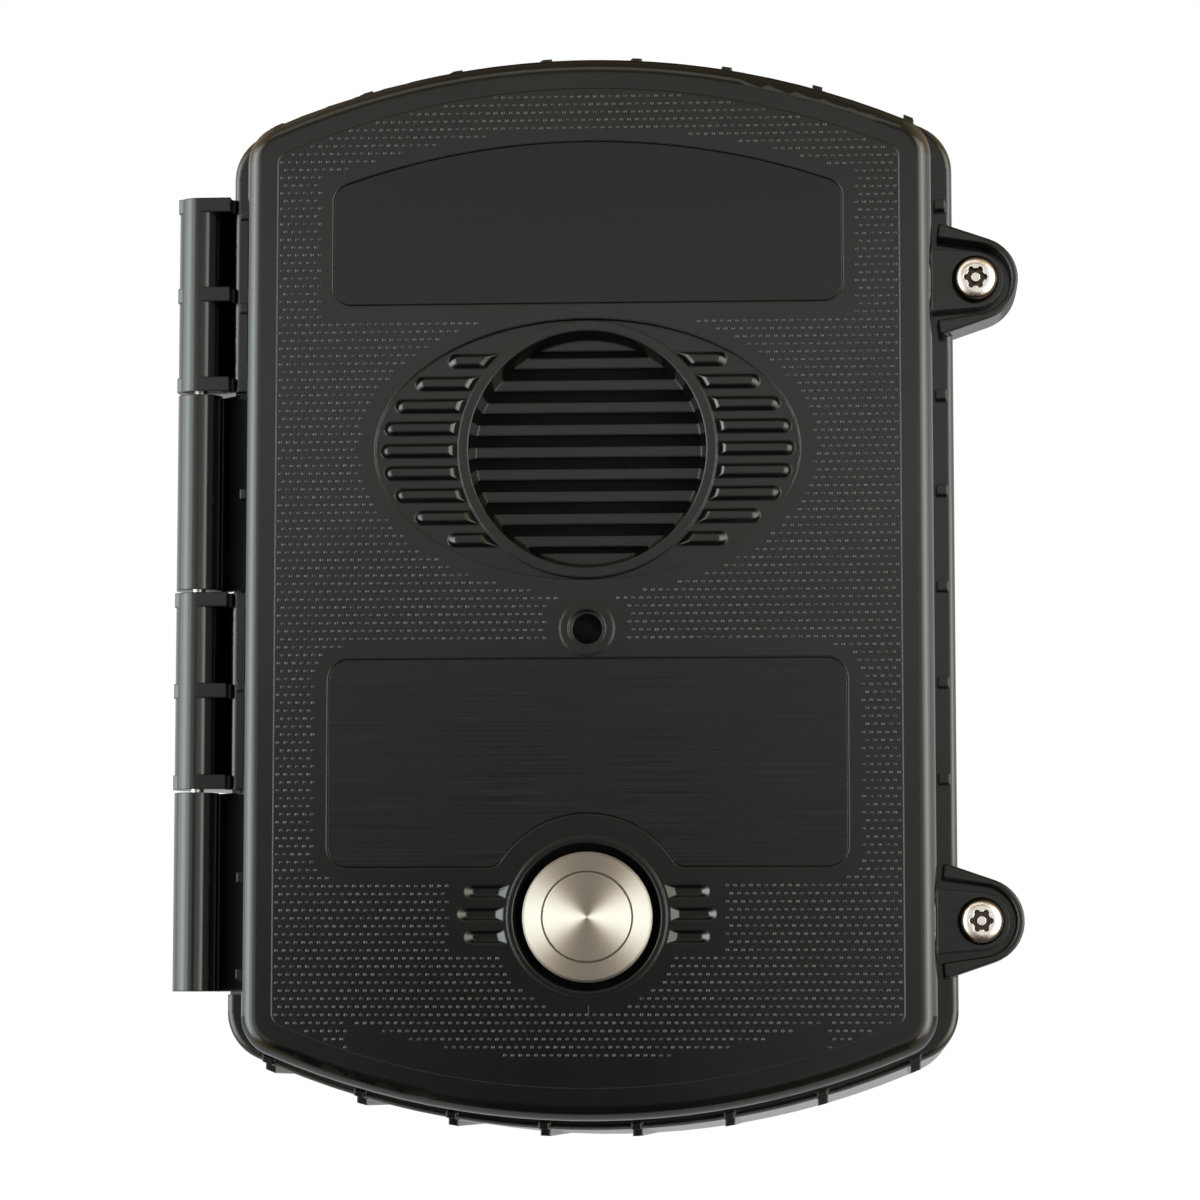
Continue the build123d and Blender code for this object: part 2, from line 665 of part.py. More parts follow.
# Door
with BuildPart() as bars:
    for offset_z in rib_centres(SLATS, SLAT_PITCH):
        half = BAR_SPAN * sqrt(1 - (offset_z / BAR_SPAN_H) ** 2)
        with BuildSketch(at_depth(FACE - OVAL_DEPTH)):
            with Locations((0, SPEAKER_Z + offset_z)):
                SlotOverall(2 * half, BAR_H)
        with BuildSketch(at_depth(FACE)):
            with Locations((0, SPEAKER_Z + offset_z)):
                SlotOverall(2 * half - 2 * BAR_END_RUN, BAR_H - 2 * BAR_SIDE_RUN)
        loft(ruled=True)
    with BuildSketch(at_depth(FACE - OVAL_DEPTH)):
        with Locations((0, SPEAKER_Z)):
            Circle(LIP_R + BAR_RING_GAP)
    with BuildSketch(at_depth(FACE)):
        with Locations((0, SPEAKER_Z)):
            Circle(LIP_R + BAR_RING_GAP + BAR_END_RUN)
    loft(ruled=True, mode=Mode.SUBTRACT)

groove_end_run = BAR_END_RUN * (BAR_DEPTH + COLLAR_RISE) / BAR_DEPTH
with BuildPart() as button_grooves:
    for offset_z in rib_centres(BAR_ROWS, BAR_ROW_PITCH):
        half = BAR_OUTER - BAR_OUTER_STEP * abs(offset_z) / BAR_ROW_PITCH
        with BuildSketch(at_depth(FACE - BAR_DEPTH)):
            with Locations((0, BUTTON_Z + BAR_ROW_RISE + offset_z)):
                SlotOverall(2 * half - 2 * groove_end_run, BAR_H - 2 * BAR_SIDE_RUN)
        with BuildSketch(at_depth(FACE + COLLAR_RISE)):
            with Locations((0, BUTTON_Z + BAR_ROW_RISE + offset_z)):
                SlotOverall(2 * half, BAR_H)
        loft(ruled=True)
    with BuildSketch(at_depth(FACE - BAR_DEPTH)):
        with Locations((0, BUTTON_Z)):
            Circle(BUTTON_COLLAR_R + BAR_RING_GAP + groove_end_run)
    with BuildSketch(at_depth(FACE + COLLAR_RISE)):
        with Locations((0, BUTTON_Z)):
            Circle(BUTTON_COLLAR_R + BAR_RING_GAP)
    loft(ruled=True, mode=Mode.SUBTRACT)

with BuildPart() as door:
    with BuildSketch(at_depth(SEAM)):
        add(case_outline(0))
    extrude(amount=DOOR_DEPTH)
    fillet(door.faces().sort_by(Axis.Y)[0].edges(), radius=DOOR_EDGE_R)
    with BuildSketch(at_depth(SEAM)):
        add(case_outline(-DOOR_WALL))
    extrude(amount=DOOR_DEPTH - DOOR_WALL, mode=Mode.SUBTRACT)
    with BuildSketch(at_depth(SKIN - CHANNEL_H)):
        add(case_outline(-CHANNEL_IN))
        add(case_outline(-CHANNEL_IN - CHANNEL_WALL), mode=Mode.SUBTRACT)
    extrude(amount=CHANNEL_H)

    # Speaker: oval recess, raised bars, ring and slatted well
    with BuildSketch(at_depth(FACE - OVAL_DEPTH)):
        with Locations((0, SPEAKER_Z)):
            Ellipse(OVAL_A, OVAL_B)
            Circle(LIP_R, mode=Mode.SUBTRACT)
    extrude(amount=OVAL_DEPTH, mode=Mode.SUBTRACT)
    add(bars.part)
    with BuildSketch(at_depth(GRILLE_BACK)):
        with Locations((0, SPEAKER_Z)):
            Circle(WELL_TUBE_R)
    extrude(amount=SKIN - GRILLE_BACK)
    with BuildSketch(at_depth(WELL_FLOOR)):
        with Locations((0, SPEAKER_Z)):
            Circle(WELL_FLOOR_R)
    with BuildSketch(at_depth(FACE)):
        with Locations((0, SPEAKER_Z)):
            Circle(WELL_R)
    loft(mode=Mode.SUBTRACT)
    with BuildSketch(at_depth(GRILLE_BACK)):
        gap_h = SLAT_PITCH - SLAT_H
        with Locations(*[(0, SPEAKER_Z + z) for z in rib_centres(SLATS - 1, SLAT_PITCH)]):
            Rectangle(2 * WELL_FLOOR_R, gap_h)
        end_z = (SLATS - 1) / 2 * SLAT_PITCH + (SLAT_H + SLAT_END_GAP) / 2
        with Locations((0, SPEAKER_Z - end_z), (0, SPEAKER_Z + end_z)):
            Rectangle(2 * WELL_FLOOR_R, SLAT_END_GAP)
        with Locations((0, SPEAKER_Z)):
            Circle(WELL_FLOOR_R, mode=Mode.INTERSECT)
    extrude(amount=SLAT_T, mode=Mode.SUBTRACT)

    # Microphone port
    with BuildSketch(at_depth(SKIN - MIC_TUBE_H)):
        with Locations((0, MIC_Z)):
            Circle(CAPSULE_R + BOOT_WALL + BOOT_PLAY + MIC_TUBE_WALL)
            Circle(CAPSULE_R + BOOT_WALL + BOOT_PLAY, mode=Mode.SUBTRACT)
    extrude(amount=MIC_TUBE_H)
    with BuildSketch(at_depth(FACE)):
        with Locations((0, MIC_Z)):
            Circle(MIC_COLLAR_R)
    extrude(amount=COLLAR_RISE)
    with BuildSketch(at_depth(SKIN + MIC_FLOOR)):
        with Locations((0, MIC_Z)):
            Circle(MIC_HOLE_R)
    extrude(amount=DOOR_WALL, mode=Mode.SUBTRACT)
    with BuildSketch(at_depth(SKIN)):
        with Locations((0, MIC_Z)):
            Circle(MIC_MOUTH_R)
    extrude(amount=MIC_FLOOR, mode=Mode.SUBTRACT)

    # Button well with its collar and grooves
    with BuildSketch(at_depth(BUTTON_PANEL_BACK)):
        with Locations((0, BUTTON_Z)):
            Circle(BUTTON_CUP_R)
    extrude(amount=SKIN - BUTTON_PANEL_BACK)
    with BuildSketch(at_depth(FACE)):
        with Locations((0, BUTTON_Z)):
            Circle(BUTTON_COLLAR_R)
    extrude(amount=COLLAR_RISE)
    with BuildSketch(at_depth(BUTTON_FLOOR)):
        with Locations((0, BUTTON_Z)):
            Circle(BUTTON_WELL_R)
    extrude(amount=BUTTON_WELL_DEPTH + COLLAR_RISE, mode=Mode.SUBTRACT)
    with BuildSketch(at_depth(BUTTON_PANEL_BACK)):
        with Locations((0, BUTTON_Z)):
            Circle(BARREL_HOLE_R)
    extrude(amount=BUTTON_FLOOR_T, mode=Mode.SUBTRACT)
    add(button_grooves.part, mode=Mode.SUBTRACT)

    # Recesses of the label plates
    with BuildSketch(at_depth(FACE - PLATE_T - PLATE_SET_BACK)):
        add(upper_plate_outline(PLATE_PLAY))
        add(lower_plate_outline(PLATE_PLAY))
    extrude(amount=PLATE_T + PLATE_SET_BACK, mode=Mode.SUBTRACT)

    # Tongues of the cover screws
    for z in SCREW_ZS.values():
        with BuildSketch(at_depth(SEAM)):
            with Locations((0, z)):
                add(teardrop(TONGUE_R, TONGUE_ROOT, DOOR_W / 2 - DOOR_WALL / 2))
            with Locations((SCREW_X, z)):
                Circle(SCREW_R + TONGUE_PLAY, mode=Mode.SUBTRACT)
        extrude(amount=TONGUE_T)

    # Hinge knuckles, joined to the rim by a sloping web, with small nubs beside the rim
    for index in range(1, KNUCKLES, 2):
        middle = knuckle_centre(index)
        with BuildSketch(Plane.XY.offset(middle - KNUCKLE_L / 2)):
            with Locations((HINGE_X, -HINGE_DEPTH)):
                Circle(BARREL_R)
            with BuildLine():
                Polyline(
                    (HINGE_X, -HINGE_DEPTH),
                    (HINGE_X + BARREL_R, -SEAM - HINGE_WEB + HINGE_ROOM),
                    (-DOOR_W / 2, -SEAM - HINGE_WEB),
                    (-DOOR_W / 2 + DOOR_WALL / 2, -SEAM - HINGE_WEB),
                    (-DOOR_W / 2 + DOOR_WALL / 2, -SEAM),
                    (-DOOR_W / 2, -SEAM),
                    (HINGE_X + BARREL_R, -SEAM + HINGE_ROOM),
                    (HINGE_X, -HINGE_DEPTH + BARREL_R),
                    (HINGE_X, -HINGE_DEPTH),
                )
            make_face()
        extrude(amount=KNUCKLE_L)
    with BuildSketch(at_depth(SEAM)):
        for index in range(1, KNUCKLES, 2):
            middle = knuckle_centre(index)
            inside = [z for z in side_ribs if abs(z - middle) < KNUCKLE_L / 2 - RIB_W]
            with Locations(*[(-DOOR_W / 2, z) for z in inside]):
                Rectangle(2 * MOUTH_GROW, RIB_W)
    extrude(amount=HINGE_WEB + NUB_RISE)
    with BuildSketch(Plane.XY.offset(-HINGE_L / 2)):
        with Locations((HINGE_X, -HINGE_DEPTH)):
            Circle(PIN_R + PIN_PLAY)
    extrude(amount=HINGE_L, mode=Mode.SUBTRACT)

    # Standoffs of the board and bosses of the speaker's clamps
    with BuildSketch(at_depth(BOARD_FRONT)):
        with Locations(*board_holes):
            Circle(STANDOFF_R)
            Circle(PILOT_R, mode=Mode.SUBTRACT)
    extrude(amount=BOARD_STANDOFF)
    with BuildSketch(at_depth(FLANGE_BACK)):
        with Locations(*clamp_holes):
            Circle(SMALL_BOSS_R)
            Circle(SMALL_SCREW_R, mode=Mode.SUBTRACT)
    extrude(amount=SKIN - FLANGE_BACK)
door.part.label = "door"
export_step(door.part, "parts/door.step")

with BuildPart() as door_gasket:
    with BuildSketch(at_depth(MOUTH + LIP_RISE + SEAL_CLEAR)):
        add(case_outline(-DOOR_WALL - SEAL_CLEAR))
        add(case_outline(-CHANNEL_IN + SEAL_CLEAR), mode=Mode.SUBTRACT)
    extrude(amount=SKIN - MOUTH - LIP_RISE - SEAL_CLEAR)
door_gasket.part.label = "door_gasket"
export_step(door_gasket.part, "parts/door_gasket.step")

with BuildPart() as upper_label_plate:
    with BuildSketch(at_depth(FACE - PLATE_T - PLATE_SET_BACK)):
        add(upper_plate_outline(0))
    extrude(amount=PLATE_T)
upper_label_plate.part.label = "upper_label_plate"
export_step(upper_label_plate.part, "parts/upper_label_plate.step")

with BuildPart() as lower_label_plate:
    with BuildSketch(at_depth(FACE - PLATE_T - PLATE_SET_BACK)):
        add(lower_plate_outline(0))
    extrude(amount=PLATE_T)
lower_label_plate.part.label = "lower_label_plate"
export_step(lower_label_plate.part, "parts/lower_label_plate.step")

# Cover screws and their retaining rings
for name, z in SCREW_ZS.items():
    with BuildPart() as cover_screw:
        with BuildSketch(at_depth(SCREW_TIP)):
            with Locations((SCREW_X, z)):
                Circle(SCREW_R)
        extrude(amount=SCREW_L)
        with BuildSketch(at_depth(SEAM + TONGUE_T)):
            with Locations((SCREW_X, z)):
                Circle(HEAD_R)
        extrude(amount=HEAD_H)
        rim = cover_screw.faces().sort_by(Axis.Y)[0].edges()
        fillet(rim, radius=HEAD_EDGE_R)
        with BuildSketch(at_depth(SEAM + TONGUE_T + HEAD_H - SOCKET_DEPTH)):
            with Locations((SCREW_X, z)):
                Circle(SOCKET_R - SOCKET_LOBE_R)
                with PolarLocations(SOCKET_R - SOCKET_LOBE_R, 6):
                    Circle(SOCKET_LOBE_R)
                Circle(SOCKET_PIN_R, mode=Mode.SUBTRACT)
        extrude(amount=SOCKET_DEPTH, mode=Mode.SUBTRACT)
        with BuildSketch(at_depth(RING_TOP - RING_T - RING_PLAY)):
            with Locations((SCREW_X, z)):
                Circle(SCREW_R)
                Circle(SCREW_R - RING_GROOVE, mode=Mode.SUBTRACT)
        extrude(amount=RING_T + 2 * RING_PLAY, mode=Mode.SUBTRACT)
    cover_screw.part.label = f"{name}_cover_screw"
    export_step(cover_screw.part, f"parts/{name}_cover_screw.step")

    with BuildPart() as screw_ring:
        with BuildSketch(at_depth(RING_TOP - RING_T)):
            with Locations((SCREW_X, z)):
                Circle(RING_R)
                Circle(SCREW_R - RING_GROOVE + RING_PLAY, mode=Mode.SUBTRACT)
        extrude(amount=RING_T)
    screw_ring.part.label = f"{name}_screw_ring"
    export_step(screw_ring.part, f"parts/{name}_screw_ring.step")

# Speaker
speaker_axis = Plane(origin=(0, 0, SPEAKER_Z), x_dir=(1, 0, 0), z_dir=(0, 0, 1))

with BuildPart() as splash_screen:
    with BuildSketch(at_depth(SCREEN_BACK)):
        with Locations((0, SPEAKER_Z)):
            Circle(SPEAKER_R)
    extrude(amount=SCREEN_T)
splash_screen.part.label = "splash_screen"
export_step(splash_screen.part, "parts/splash_screen.step")

with BuildPart() as speaker_gasket:
    with BuildSketch(at_depth(FOAM_BACK)):
        with Locations((0, SPEAKER_Z)):
            Circle(SPEAKER_R)
            Circle(CONE_R + FLANGE_T, mode=Mode.SUBTRACT)
    extrude(amount=FOAM_T)
speaker_gasket.part.label = "speaker_gasket"
export_step(speaker_gasket.part, "parts/speaker_gasket.step")


def turned(points):
    """Part turned about the speaker's axis, from (radius, depth) points."""
    with BuildPart(mode=Mode.PRIVATE) as turning:
        with BuildSketch(speaker_axis):
            with BuildLine():
                Polyline(*[(r, -depth) for r, depth in points], close=True)
            make_face()
        revolve(axis=Axis((0, 0, SPEAKER_Z), (0, 1, 0)))
    return turning.part


BASKET_BACK = FLANGE_BACK - BASKET_DEEP
with BuildPart() as speaker_basket:
    add(
        turned(
            [
                (CONE_R + FLANGE_T, FOAM_BACK),
                (SPEAKER_R, FOAM_BACK),
                (SPEAKER_R, FLANGE_BACK),
                (CONE_R + 2 * FLANGE_T, FLANGE_BACK),
                (MAGNET_R, BASKET_BACK),
                (CONE_THROAT_R, BASKET_BACK),
                (CONE_THROAT_R, BASKET_BACK + FLANGE_T),
                (MAGNET_R - FLANGE_T, BASKET_BACK + FLANGE_T),
                (CONE_R + FLANGE_T, FLANGE_BACK),
            ]
        )
    )
    # Windows between the basket's arms
    with BuildSketch(at_depth(BASKET_BACK + 2 * FLANGE_T)):
        with Locations((0, SPEAKER_Z)):
            with PolarLocations((MAGNET_R + CONE_R) / 2, BASKET_WINDOWS, start_angle=45):
                Circle(BASKET_WINDOW_R)
    extrude(amount=BASKET_DEEP - 3 * FLANGE_T, mode=Mode.SUBTRACT)
speaker_basket.part.label = "speaker_basket"
export_step(speaker_basket.part, "parts/speaker_basket.step")

with BuildPart() as speaker_magnet:
    add(
        turned(
            [
                (0, BASKET_BACK),
                (MAGNET_R, BASKET_BACK),
                (MAGNET_R, BASKET_BACK - MAGNET_T),
                (0, BASKET_BACK - MAGNET_T),
            ]
        )
    )
    fillet(speaker_magnet.faces().sort_by(Axis.Y)[-1].edges(), radius=MAGNET_EDGE_R)
speaker_magnet.part.label = "speaker_magnet"
export_step(speaker_magnet.part, "parts/speaker_magnet.step")

with BuildPart() as speaker_cone:
    add(
        turned(
            [
                (CONE_R, FOAM_BACK - FLANGE_T / 2),
                (CONE_R, FOAM_BACK - FLANGE_T / 2 - CONE_T),
                (CONE_THROAT_R, FOAM_BACK - CONE_H),
                (CONE_THROAT_R, FOAM_BACK - CONE_H + CONE_T),
            ]
        )
    )
speaker_cone.part.label = "speaker_cone"
export_step(speaker_cone.part, "parts/speaker_cone.step")

with BuildPart() as speaker_surround:
    add(
        turned(
            [
                (CONE_R, FOAM_BACK - FLANGE_T / 2 - CONE_T),
                (CONE_R + FLANGE_T, FOAM_BACK - FLANGE_T / 2 - CONE_T),
                (CONE_R + FLANGE_T, FOAM_BACK),
                (CONE_R + FLANGE_T / 2, FOAM_BACK + FLANGE_T / 2),
                (CONE_R, FOAM_BACK),
            ]
        )
    )
speaker_surround.part.label = "speaker_surround"
export_step(speaker_surround.part, "parts/speaker_surround.step")

with BuildPart() as speaker_dust_cap:
    cone_slope = (CONE_H - FLANGE_T / 2 - CONE_T) / (CONE_R - CONE_THROAT_R)
    cap_rim = FOAM_BACK - CONE_H + CONE_T + (DUST_CAP_R - CONE_THROAT_R) * cone_slope
    dome_r = (DUST_CAP_R**2 + DUST_CAP_RISE**2) / (2 * DUST_CAP_RISE)
    with BuildSketch(speaker_axis):
        with BuildLine():
            RadiusArc((DUST_CAP_R, -cap_rim), (0, -cap_rim - DUST_CAP_RISE), dome_r)
            Line((0, -cap_rim - DUST_CAP_RISE), (0, -cap_rim))
            Line((0, -cap_rim), (DUST_CAP_R, -cap_rim))
        make_face()
    revolve(axis=Axis((0, 0, SPEAKER_Z), (0, 1, 0)))
speaker_dust_cap.part.label = "speaker_dust_cap"
export_step(speaker_dust_cap.part, "parts/speaker_dust_cap.step")

with BuildPart() as speaker_clamps:
    with BuildSketch(at_depth(FLANGE_BACK - CLAMP_T)):
        for angle in clamp_angles:
            inner = SPEAKER_R - CLAMP_OVERLAP
            outer = CLAMP_SCREW_R + CLAMP_W / 2
            reach = (inner + outer) / 2
            centre = (reach * cos(radians(angle)), SPEAKER_Z + reach * sin(radians(angle)))
            with Locations(Location(centre, angle)):
                Rectangle(outer - inner, CLAMP_W)
        with Locations(*clamp_holes):
            Circle(SMALL_SCREW_R, mode=Mode.SUBTRACT)
    extrude(amount=CLAMP_T)
speaker_clamps.part.label = "speaker_clamps"
export_step(speaker_clamps.part, "parts/speaker_clamps.step")


def small_screws(places, seat, length):
    """Small pan-head screws whose heads lie behind a seat at a depth, tips forwards."""
    with BuildPart(mode=Mode.PRIVATE) as screws:
        with BuildSketch(at_depth(seat - SMALL_HEAD_H)):
            with Locations(*places):
                Circle(SMALL_HEAD_R)
        extrude(amount=SMALL_HEAD_H)
        with BuildSketch(at_depth(seat)):
            with Locations(*places):
                Circle(SMALL_SCREW_R)
        extrude(amount=length)
        with BuildSketch(at_depth(seat - SMALL_HEAD_H)):
            with Locations(*places):
                Rectangle(SMALL_HEAD_R, SMALL_SCREW_R / 2)
                Rectangle(SMALL_SCREW_R / 2, SMALL_HEAD_R)
        extrude(amount=SMALL_HEAD_H / 2, mode=Mode.SUBTRACT)
    return screws.part


with BuildPart() as speaker_screws:
    add(small_screws(clamp_holes, FLANGE_BACK - CLAMP_T, CLAMP_T + SKIN - FLANGE_BACK))
speaker_screws.part.label = "speaker_screws"
export_step(speaker_screws.part, "parts/speaker_screws.step")

# Microphone
with BuildPart() as microphone_boot:
    with BuildSketch(at_depth(SKIN - CAPSULE_T)):
        with Locations((0, MIC_Z)):
            Circle(CAPSULE_R + BOOT_WALL)
            Circle(CAPSULE_R, mode=Mode.SUBTRACT)
    extrude(amount=CAPSULE_T)
microphone_boot.part.label = "microphone_boot"
export_step(microphone_boot.part, "parts/microphone_boot.step")

with BuildPart() as microphone_capsule:
    with BuildSketch(at_depth(SKIN - CAPSULE_T)):
        with Locations((0, MIC_Z)):
            Circle(CAPSULE_R)
    extrude(amount=CAPSULE_T)
    with BuildSketch(at_depth(BOARD_FRONT)):
        with Locations((-MIC_LEG_SPAN / 2, MIC_Z), (MIC_LEG_SPAN / 2, MIC_Z)):
            Circle(MIC_LEG_R)
    extrude(amount=BOARD_STANDOFF - CAPSULE_T)
microphone_capsule.part.label = "microphone_capsule"
export_step(microphone_capsule.part, "parts/microphone_capsule.step")

# Push button
with BuildPart() as button_body:
    with BuildSketch(at_depth(BEZEL_BACK)):
        with Locations((0, BUTTON_Z)):
            Circle(BEZEL_R)
    extrude(amount=BEZEL_FACE - BEZEL_BACK)
    chamfer(button_body.faces().sort_by(Axis.Y)[0].edges(), length=BEZEL_CHAMFER)
    with BuildSketch(at_depth(BUTTON_REAR)):
        with Locations((0, BUTTON_Z)):
            Circle(BUTTON_BARREL_R)
    extrude(amount=BUTTON_L)
    with BuildSketch(at_depth(BUTTON_REAR)):
        with Locations((0, BUTTON_Z)):
            Circle(CHAMBER_R)
    extrude(amount=CAP_REAR + CAP_FLANGE_T + CAP_FIT - BUTTON_REAR, mode=Mode.SUBTRACT)
    with BuildSketch(at_depth(BUTTON_REAR)):
        with Locations((0, BUTTON_Z)):
            Circle(CAP_R + CAP_FIT)
    extrude(amount=BEZEL_FACE - BUTTON_REAR, mode=Mode.SUBTRACT)
    with BuildSketch(at_depth(BEZEL_FACE - CAP_GROOVE_DEPTH)):
        with Locations((0, BUTTON_Z)):
            Circle(CAP_R + CAP_GROOVE)
    extrude(amount=CAP_GROOVE_DEPTH, mode=Mode.SUBTRACT)
button_body.part.label = "button_body"
export_step(button_body.part, "parts/button_body.step")

with BuildPart() as button_cap:
    with BuildSketch(at_depth(CAP_REAR)):
        with Locations((0, BUTTON_Z)):
            Circle(CAP_R)
    extrude(amount=CAP_L)
    fillet(button_cap.faces().sort_by(Axis.Y)[0].edges(), radius=CAP_DISH)
    with BuildSketch(at_depth(CAP_REAR)):
        with Locations((0, BUTTON_Z)):
            Circle(CAP_FLANGE_R)
    extrude(amount=CAP_FLANGE_T)
    with BuildSketch(at_depth(CAP_REAR - PLUNGER_L)):
        with Locations((0, BUTTON_Z)):
            Circle(PLUNGER_R)
    extrude(amount=PLUNGER_L)
button_cap.part.label = "button_cap"
export_step(button_cap.part, "parts/button_cap.step")

with BuildPart() as button_seal:
    with BuildSketch(at_depth(BUTTON_FLOOR)):
        with Locations((0, BUTTON_Z)):
            Circle(BEZEL_R - BEZEL_CHAMFER)
            Circle(BARREL_HOLE_R, mode=Mode.SUBTRACT)
    extrude(amount=SEAL_T)
button_seal.part.label = "button_seal"
export_step(button_seal.part, "parts/button_seal.step")

with BuildPart() as button_nut:
    with BuildSketch(at_depth(BUTTON_PANEL_BACK - NUT_T)):
        with Locations((0, BUTTON_Z)):
            RegularPolygon(NUT_AF / 2, 6, major_radius=False)
            Circle(BUTTON_BARREL_R, mode=Mode.SUBTRACT)
    extrude(amount=NUT_T)
button_nut.part.label = "button_nut"
export_step(button_nut.part, "parts/button_nut.step")

with BuildPart() as button_contact_block:
    with BuildSketch(at_depth(BUTTON_REAR - BLOCK_T)):
        with Locations((0, BUTTON_Z)):
            Circle(BLOCK_R)
    extrude(amount=BLOCK_T)
    with BuildSketch(at_depth(BUTTON_REAR)):
        with Locations((0, BUTTON_Z)):
            Circle(CHAMBER_R)
    extrude(amount=PLUG_T)
button_contact_block.part.label = "button_contact_block"
export_step(button_contact_block.part, "parts/button_contact_block.step")

with BuildPart() as button_terminals:
    with BuildSketch(at_depth(BUTTON_REAR - BLOCK_T - TERMINAL_L)):
        with Locations((-TERMINAL_SPAN / 2, BUTTON_Z), (TERMINAL_SPAN / 2, BUTTON_Z)):
            Rectangle(TERMINAL_T, TERMINAL_W)
    extrude(amount=TERMINAL_L)
button_terminals.part.label = "button_terminals"
export_step(button_terminals.part, "parts/button_terminals.step")

# Return spring: quarter-turn arcs, each tangent to the one before it
SPRING_LOW = CHAMBER_FLOOR + WIRE_R
SPRING_HIGH = CAP_REAR - WIRE_R
SPRING_STEPS = SPRING_TURNS * 4


def spring_point(step):
    """Point of the coil's centre line after a number of quarter turns."""
    angle = radians(90 * step)
    depth = SPRING_LOW + (SPRING_HIGH - SPRING_LOW) * step / SPRING_STEPS
    return Vector(SPRING_R * cos(angle), -depth, BUTTON_Z + SPRING_R * sin(angle))


with BuildPart() as button_spring:
    with BuildLine() as coil:
        rise = (SPRING_HIGH - SPRING_LOW) / SPRING_STEPS
        direction = Vector(0, -rise / SPRING_R * 2 / pi, 1)
        for step in range(SPRING_STEPS):
            arc = TangentArc(spring_point(step), spring_point(step + 1), tangent=direction)
            direction = arc % 1
    with BuildSketch(Plane(origin=coil.line @ 0, z_dir=coil.line % 0)):
        Circle(WIRE_R)
    sweep(path=coil.line)
button_spring.part.label = "button_spring"
export_step(button_spring.part, "parts/button_spring.step")
print("button spring, least gap between turns:", round(4 * rise - 2 * WIRE_R, 2), "mm")

# Radio board and what is soldered to it
with BuildPart() as circuit_board:
    with BuildSketch(at_depth(BOARD_BACK)):
        with Locations((0, BOARD_Z)):
            RectangleRounded(BOARD_W, BOARD_H, BOARD_CORNER_R)
        with Locations(*board_holes):
            Circle(SMALL_SCREW_R, mode=Mode.SUBTRACT)
    extrude(amount=BOARD_T)
circuit_board.part.label = "circuit_board"
export_step(circuit_board.part, "parts/circuit_board.step")

with BuildPart() as board_screws:
    add(small_screws(board_holes, BOARD_BACK, BOARD_SCREW_L))
board_screws.part.label = "board_screws"
export_step(board_screws.part, "parts/board_screws.step")

with BuildPart() as radio_shield:
    with BuildSketch(at_depth(BOARD_BACK - SHIELD_T)):
        with Locations((SHIELD_X, SHIELD_Z)):
            RectangleRounded(SHIELD_W, SHIELD_H, SHIELD_CORNER_R)
    extrude(amount=SHIELD_T)
    with BuildSketch(at_depth(BOARD_BACK - SHIELD_T + SHIELD_WALL)):
        with Locations((SHIELD_X, SHIELD_Z)):
            Rectangle(SHIELD_W - 2 * SHIELD_WALL, SHIELD_H - 2 * SHIELD_WALL)
    extrude(amount=SHIELD_T - SHIELD_WALL, mode=Mode.SUBTRACT)
radio_shield.part.label = "radio_shield"
export_step(radio_shield.part, "parts/radio_shield.step")

with BuildPart() as processor_chip:
    with BuildSketch(at_depth(BOARD_BACK - CHIP_T)):
        with Locations((CHIP_X, CHIP_Z)):
            Rectangle(CHIP_SIZE, CHIP_SIZE)
    extrude(amount=CHIP_T)
    chamfer(processor_chip.edges().filter_by(Axis.Y), length=CHIP_CHAMFER)
processor_chip.part.label = "processor_chip"
export_step(processor_chip.part, "parts/processor_chip.step")

with BuildPart() as switch_block:
    with BuildSketch(at_depth(BOARD_BACK - SWITCH_T)):
        with Locations((SWITCH_X, SWITCH_Z)):
            Rectangle(SWITCH_W, SWITCH_H)
    extrude(amount=SWITCH_T)
    with BuildSketch(at_depth(BOARD_BACK - SWITCH_T)):
        lever_pitch = SWITCH_W / SWITCH_LEVERS
        with Locations(*[(SWITCH_X + x, SWITCH_Z) for x in rib_centres(SWITCH_LEVERS, lever_pitch)]):
            Rectangle(SWITCH_LEVER, SWITCH_H / 2)
    extrude(amount=SWITCH_LEVER, mode=Mode.SUBTRACT)
    with BuildSketch(at_depth(BOARD_BACK - SWITCH_T - SWITCH_LEVER / 2)):
        with Locations(*[(SWITCH_X + x, SWITCH_Z) for x in rib_centres(SWITCH_LEVERS, lever_pitch)]):
            Rectangle(SWITCH_LEVER, SWITCH_LEVER)
    extrude(amount=SWITCH_LEVER * 2)
switch_block.part.label = "switch_block"
export_step(switch_block.part, "parts/switch_block.step")

with BuildPart() as capacitors:
    with BuildSketch(at_depth(BOARD_BACK - CAPACITOR_T)):
        with Locations(
            *[(CAPACITORS_X + x, CAPACITORS_Z) for x in rib_centres(CAPACITORS, CAPACITOR_PITCH)]
        ):
            Circle(CAPACITOR_R)
    extrude(amount=CAPACITOR_T)
    fillet(capacitors.faces().filter_by(Axis.Y).group_by(Axis.Y)[-1].edges(), radius=CAPACITOR_EDGE_R)
capacitors.part.label = "capacitors"
export_step(capacitors.part, "parts/capacitors.step")

with BuildPart() as board_headers:
    header_places = [(HEADERS_X - x, HEADERS_Z) for x in rib_centres(HEADERS, HEADER_PITCH)]
    with BuildSketch(at_depth(BOARD_BACK - HEADER_T)):
        with Locations(*header_places):
            Rectangle(HEADER_W, HEADER_H)
    extrude(amount=HEADER_T)
    with BuildSketch(at_depth(BOARD_BACK - HEADER_T)):
        with Locations(*header_places):
            Rectangle(HEADER_W - 2 * HEADER_WALL, HEADER_H - 2 * HEADER_WALL)
    extrude(amount=HEADER_T - HEADER_FLOOR, mode=Mode.SUBTRACT)
board_headers.part.label = "board_headers"
export_step(board_headers.part, "parts/board_headers.step")

